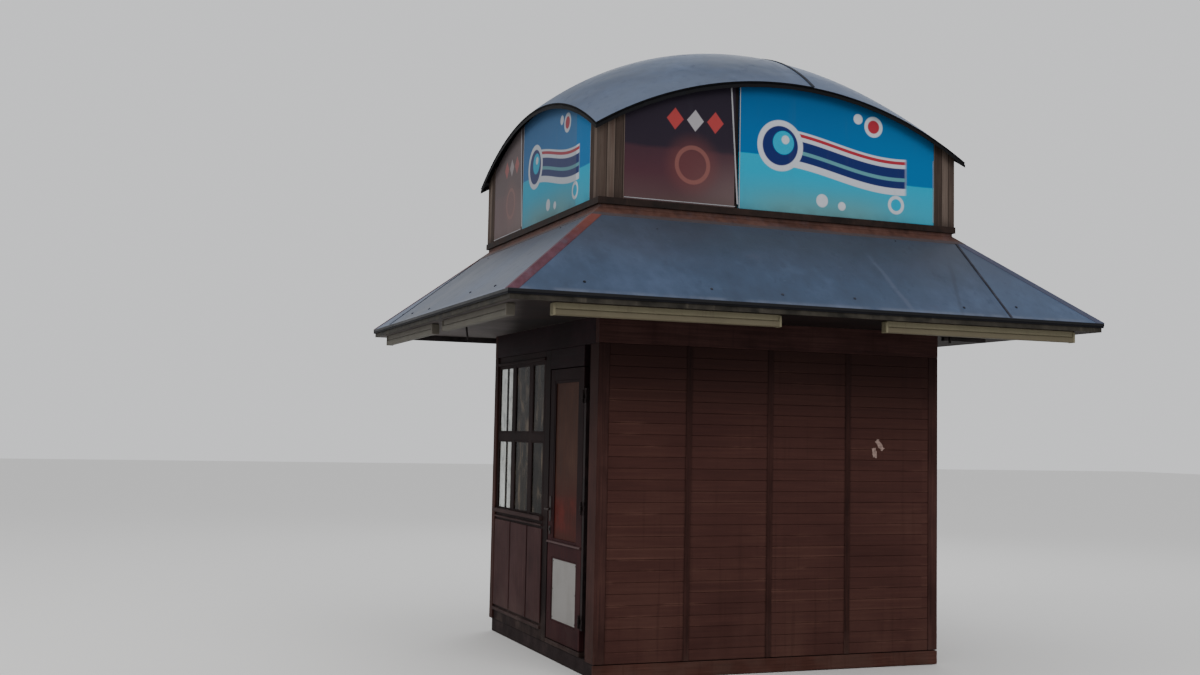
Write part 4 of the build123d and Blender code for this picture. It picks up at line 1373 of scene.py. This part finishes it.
class KIOSK_OT_dome(bpy.types.Operator):
    """Makes the dome's rolled sheets and their lap, and finishes the edge band"""

    bl_idname = "kiosk.dome"
    bl_label = "Dome"

    SEAM = 0.168
    LAP = 0.02
    EDGE_RISE = 0.443
    SIDE_RISE = 0.383
    LAP_BARS = 48
    BAR_SHIFT, BAR_LIFT = 0.014, 0.001
    BAR_WIDTH, BAR_THICKNESS = 0.026, 0.006

    def execute(self, context):
        settings = context.scene.kiosk_roof
        seam = self.SEAM
        metal = roof_metal("dome_metal", settings, seam=seam + self.LAP)
        dark_band_and_shade = dark_metal("band_metal", (11, 11, 14))
        half_x, half_y = high("dome_edge_band", 0), high("dome_edge_band", 1)
        corner = low("dome", 2) + SHEET
        crown_rise = high("dome", 2) - corner - self.SIDE_RISE

        def arc(place, half, rise):
            radius = (half * half + rise * rise) / (2 * rise)
            return math.sqrt(max(radius * radius - place * place, 0.0)) - radius + rise

        def height(x, y):
            edge = arc(x, half_x, self.EDGE_RISE)
            crown = self.SIDE_RISE + arc(x, half_x, crown_rise)
            return corner + edge + arc(y, half_y, crown - edge)

        for name, start, end, lift, thickness in (
            ("dome_left_sheet", -half_x, seam + self.LAP, 0.0, SHEET),
            ("dome_right_sheet", seam, half_x, -0.004, 0.016),
        ):
            bm = bmesh.new()
            steps = settings.dome_steps
            bmesh.ops.create_grid(bm, x_segments=steps, y_segments=steps, size=1.0)
            for vert in bm.verts:
                x = start + (end - start) * (vert.co.x + 1) / 2
                y = vert.co.y * half_y
                vert.co = (x, y, height(x, y) - 0.0006 + lift)
            bmesh.ops.recalc_face_normals(bm, faces=bm.faces)
            bmesh.ops.solidify(bm, geom=bm.faces, thickness=thickness)
            made = piece(name, bm, metal, smooth=True)
            # Undersides and rims of the sheets take the near-black band paint, a painted shade under the
            # dome's overhang.
            made.data.materials.append(dark_band_and_shade)
            for polygon in made.data.polygons:
                polygon.material_index = int(polygon.normal.z < 0.3)
            made.data.set_sharp_from_angle(angle=0.7)
            if not lift:
                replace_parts(made, "dome")
        bm = bmesh.new()
        for number in range(self.LAP_BARS):
            ys = [half_y * (2 * (number + shift) / self.LAP_BARS - 1) for shift in (0, 1)]
            start, end = [(seam + self.BAR_SHIFT, y, height(seam, y) + self.BAR_LIFT) for y in ys]
            bar(bm, start, end, (0, 0, 1), self.BAR_WIDTH, self.BAR_THICKNESS)
        # The lap's dark paint is a painted shadow of the gap under the lifted sheet edge.
        piece("dome_lap", bm, dark_metal("dome_lap_metal", (36, 40, 48)))
        dress(dark_band_and_shade, "dome_edge_band")
        return {"FINISHED"}


class KIOSK_PT_panel(bpy.types.Panel):
    """Lists the kiosk's operators and settings"""

    bl_idname = "KIOSK_PT_panel"
    bl_label = "Street Kiosk"
    bl_space_type = "VIEW_3D"
    bl_region_type = "UI"
    bl_category = "Kiosk"

    def draw(self, context):
        for operator in OPERATORS:
            self.layout.operator(operator.bl_idname)
        for group in GROUPS:
            settings = getattr(context.scene, group)
            column = self.layout.column()
            for name in settings.bl_rna.properties.keys():
                if name not in ("rna_type", "name"):
                    column.prop(settings, name)


OPERATORS = (
    KIOSK_OT_stage,
    KIOSK_OT_base,
    KIOSK_OT_cladding,
    KIOSK_OT_frames,
    KIOSK_OT_windows,
    KIOSK_OT_door,
    KIOSK_OT_eaves,
    KIOSK_OT_skirt_roof,
    KIOSK_OT_sign_box,
    KIOSK_OT_dome,
)
GROUPS = {
    "kiosk_timber": KioskTimber,
    "kiosk_fittings": KioskFittings,
    "kiosk_roof": KioskRoof,
    "kiosk_signs": KioskSigns,
    "kiosk_stage": KioskStage,
}
CLASSES = (*GROUPS.values(), *OPERATORS, KIOSK_PT_panel)


def register():
    for cls in CLASSES:
        bpy.utils.register_class(cls)
    for name, group in GROUPS.items():
        setattr(bpy.types.Scene, name, PointerProperty(type=group))


def unregister():
    for name in GROUPS:
        delattr(bpy.types.Scene, name)
    for cls in reversed(CLASSES):
        bpy.utils.unregister_class(cls)


def main():
    register()
    for operator in OPERATORS:
        group, action = operator.bl_idname.split(".")
        getattr(getattr(bpy.ops, group), action)()


if __name__ == "__main__":
    main()
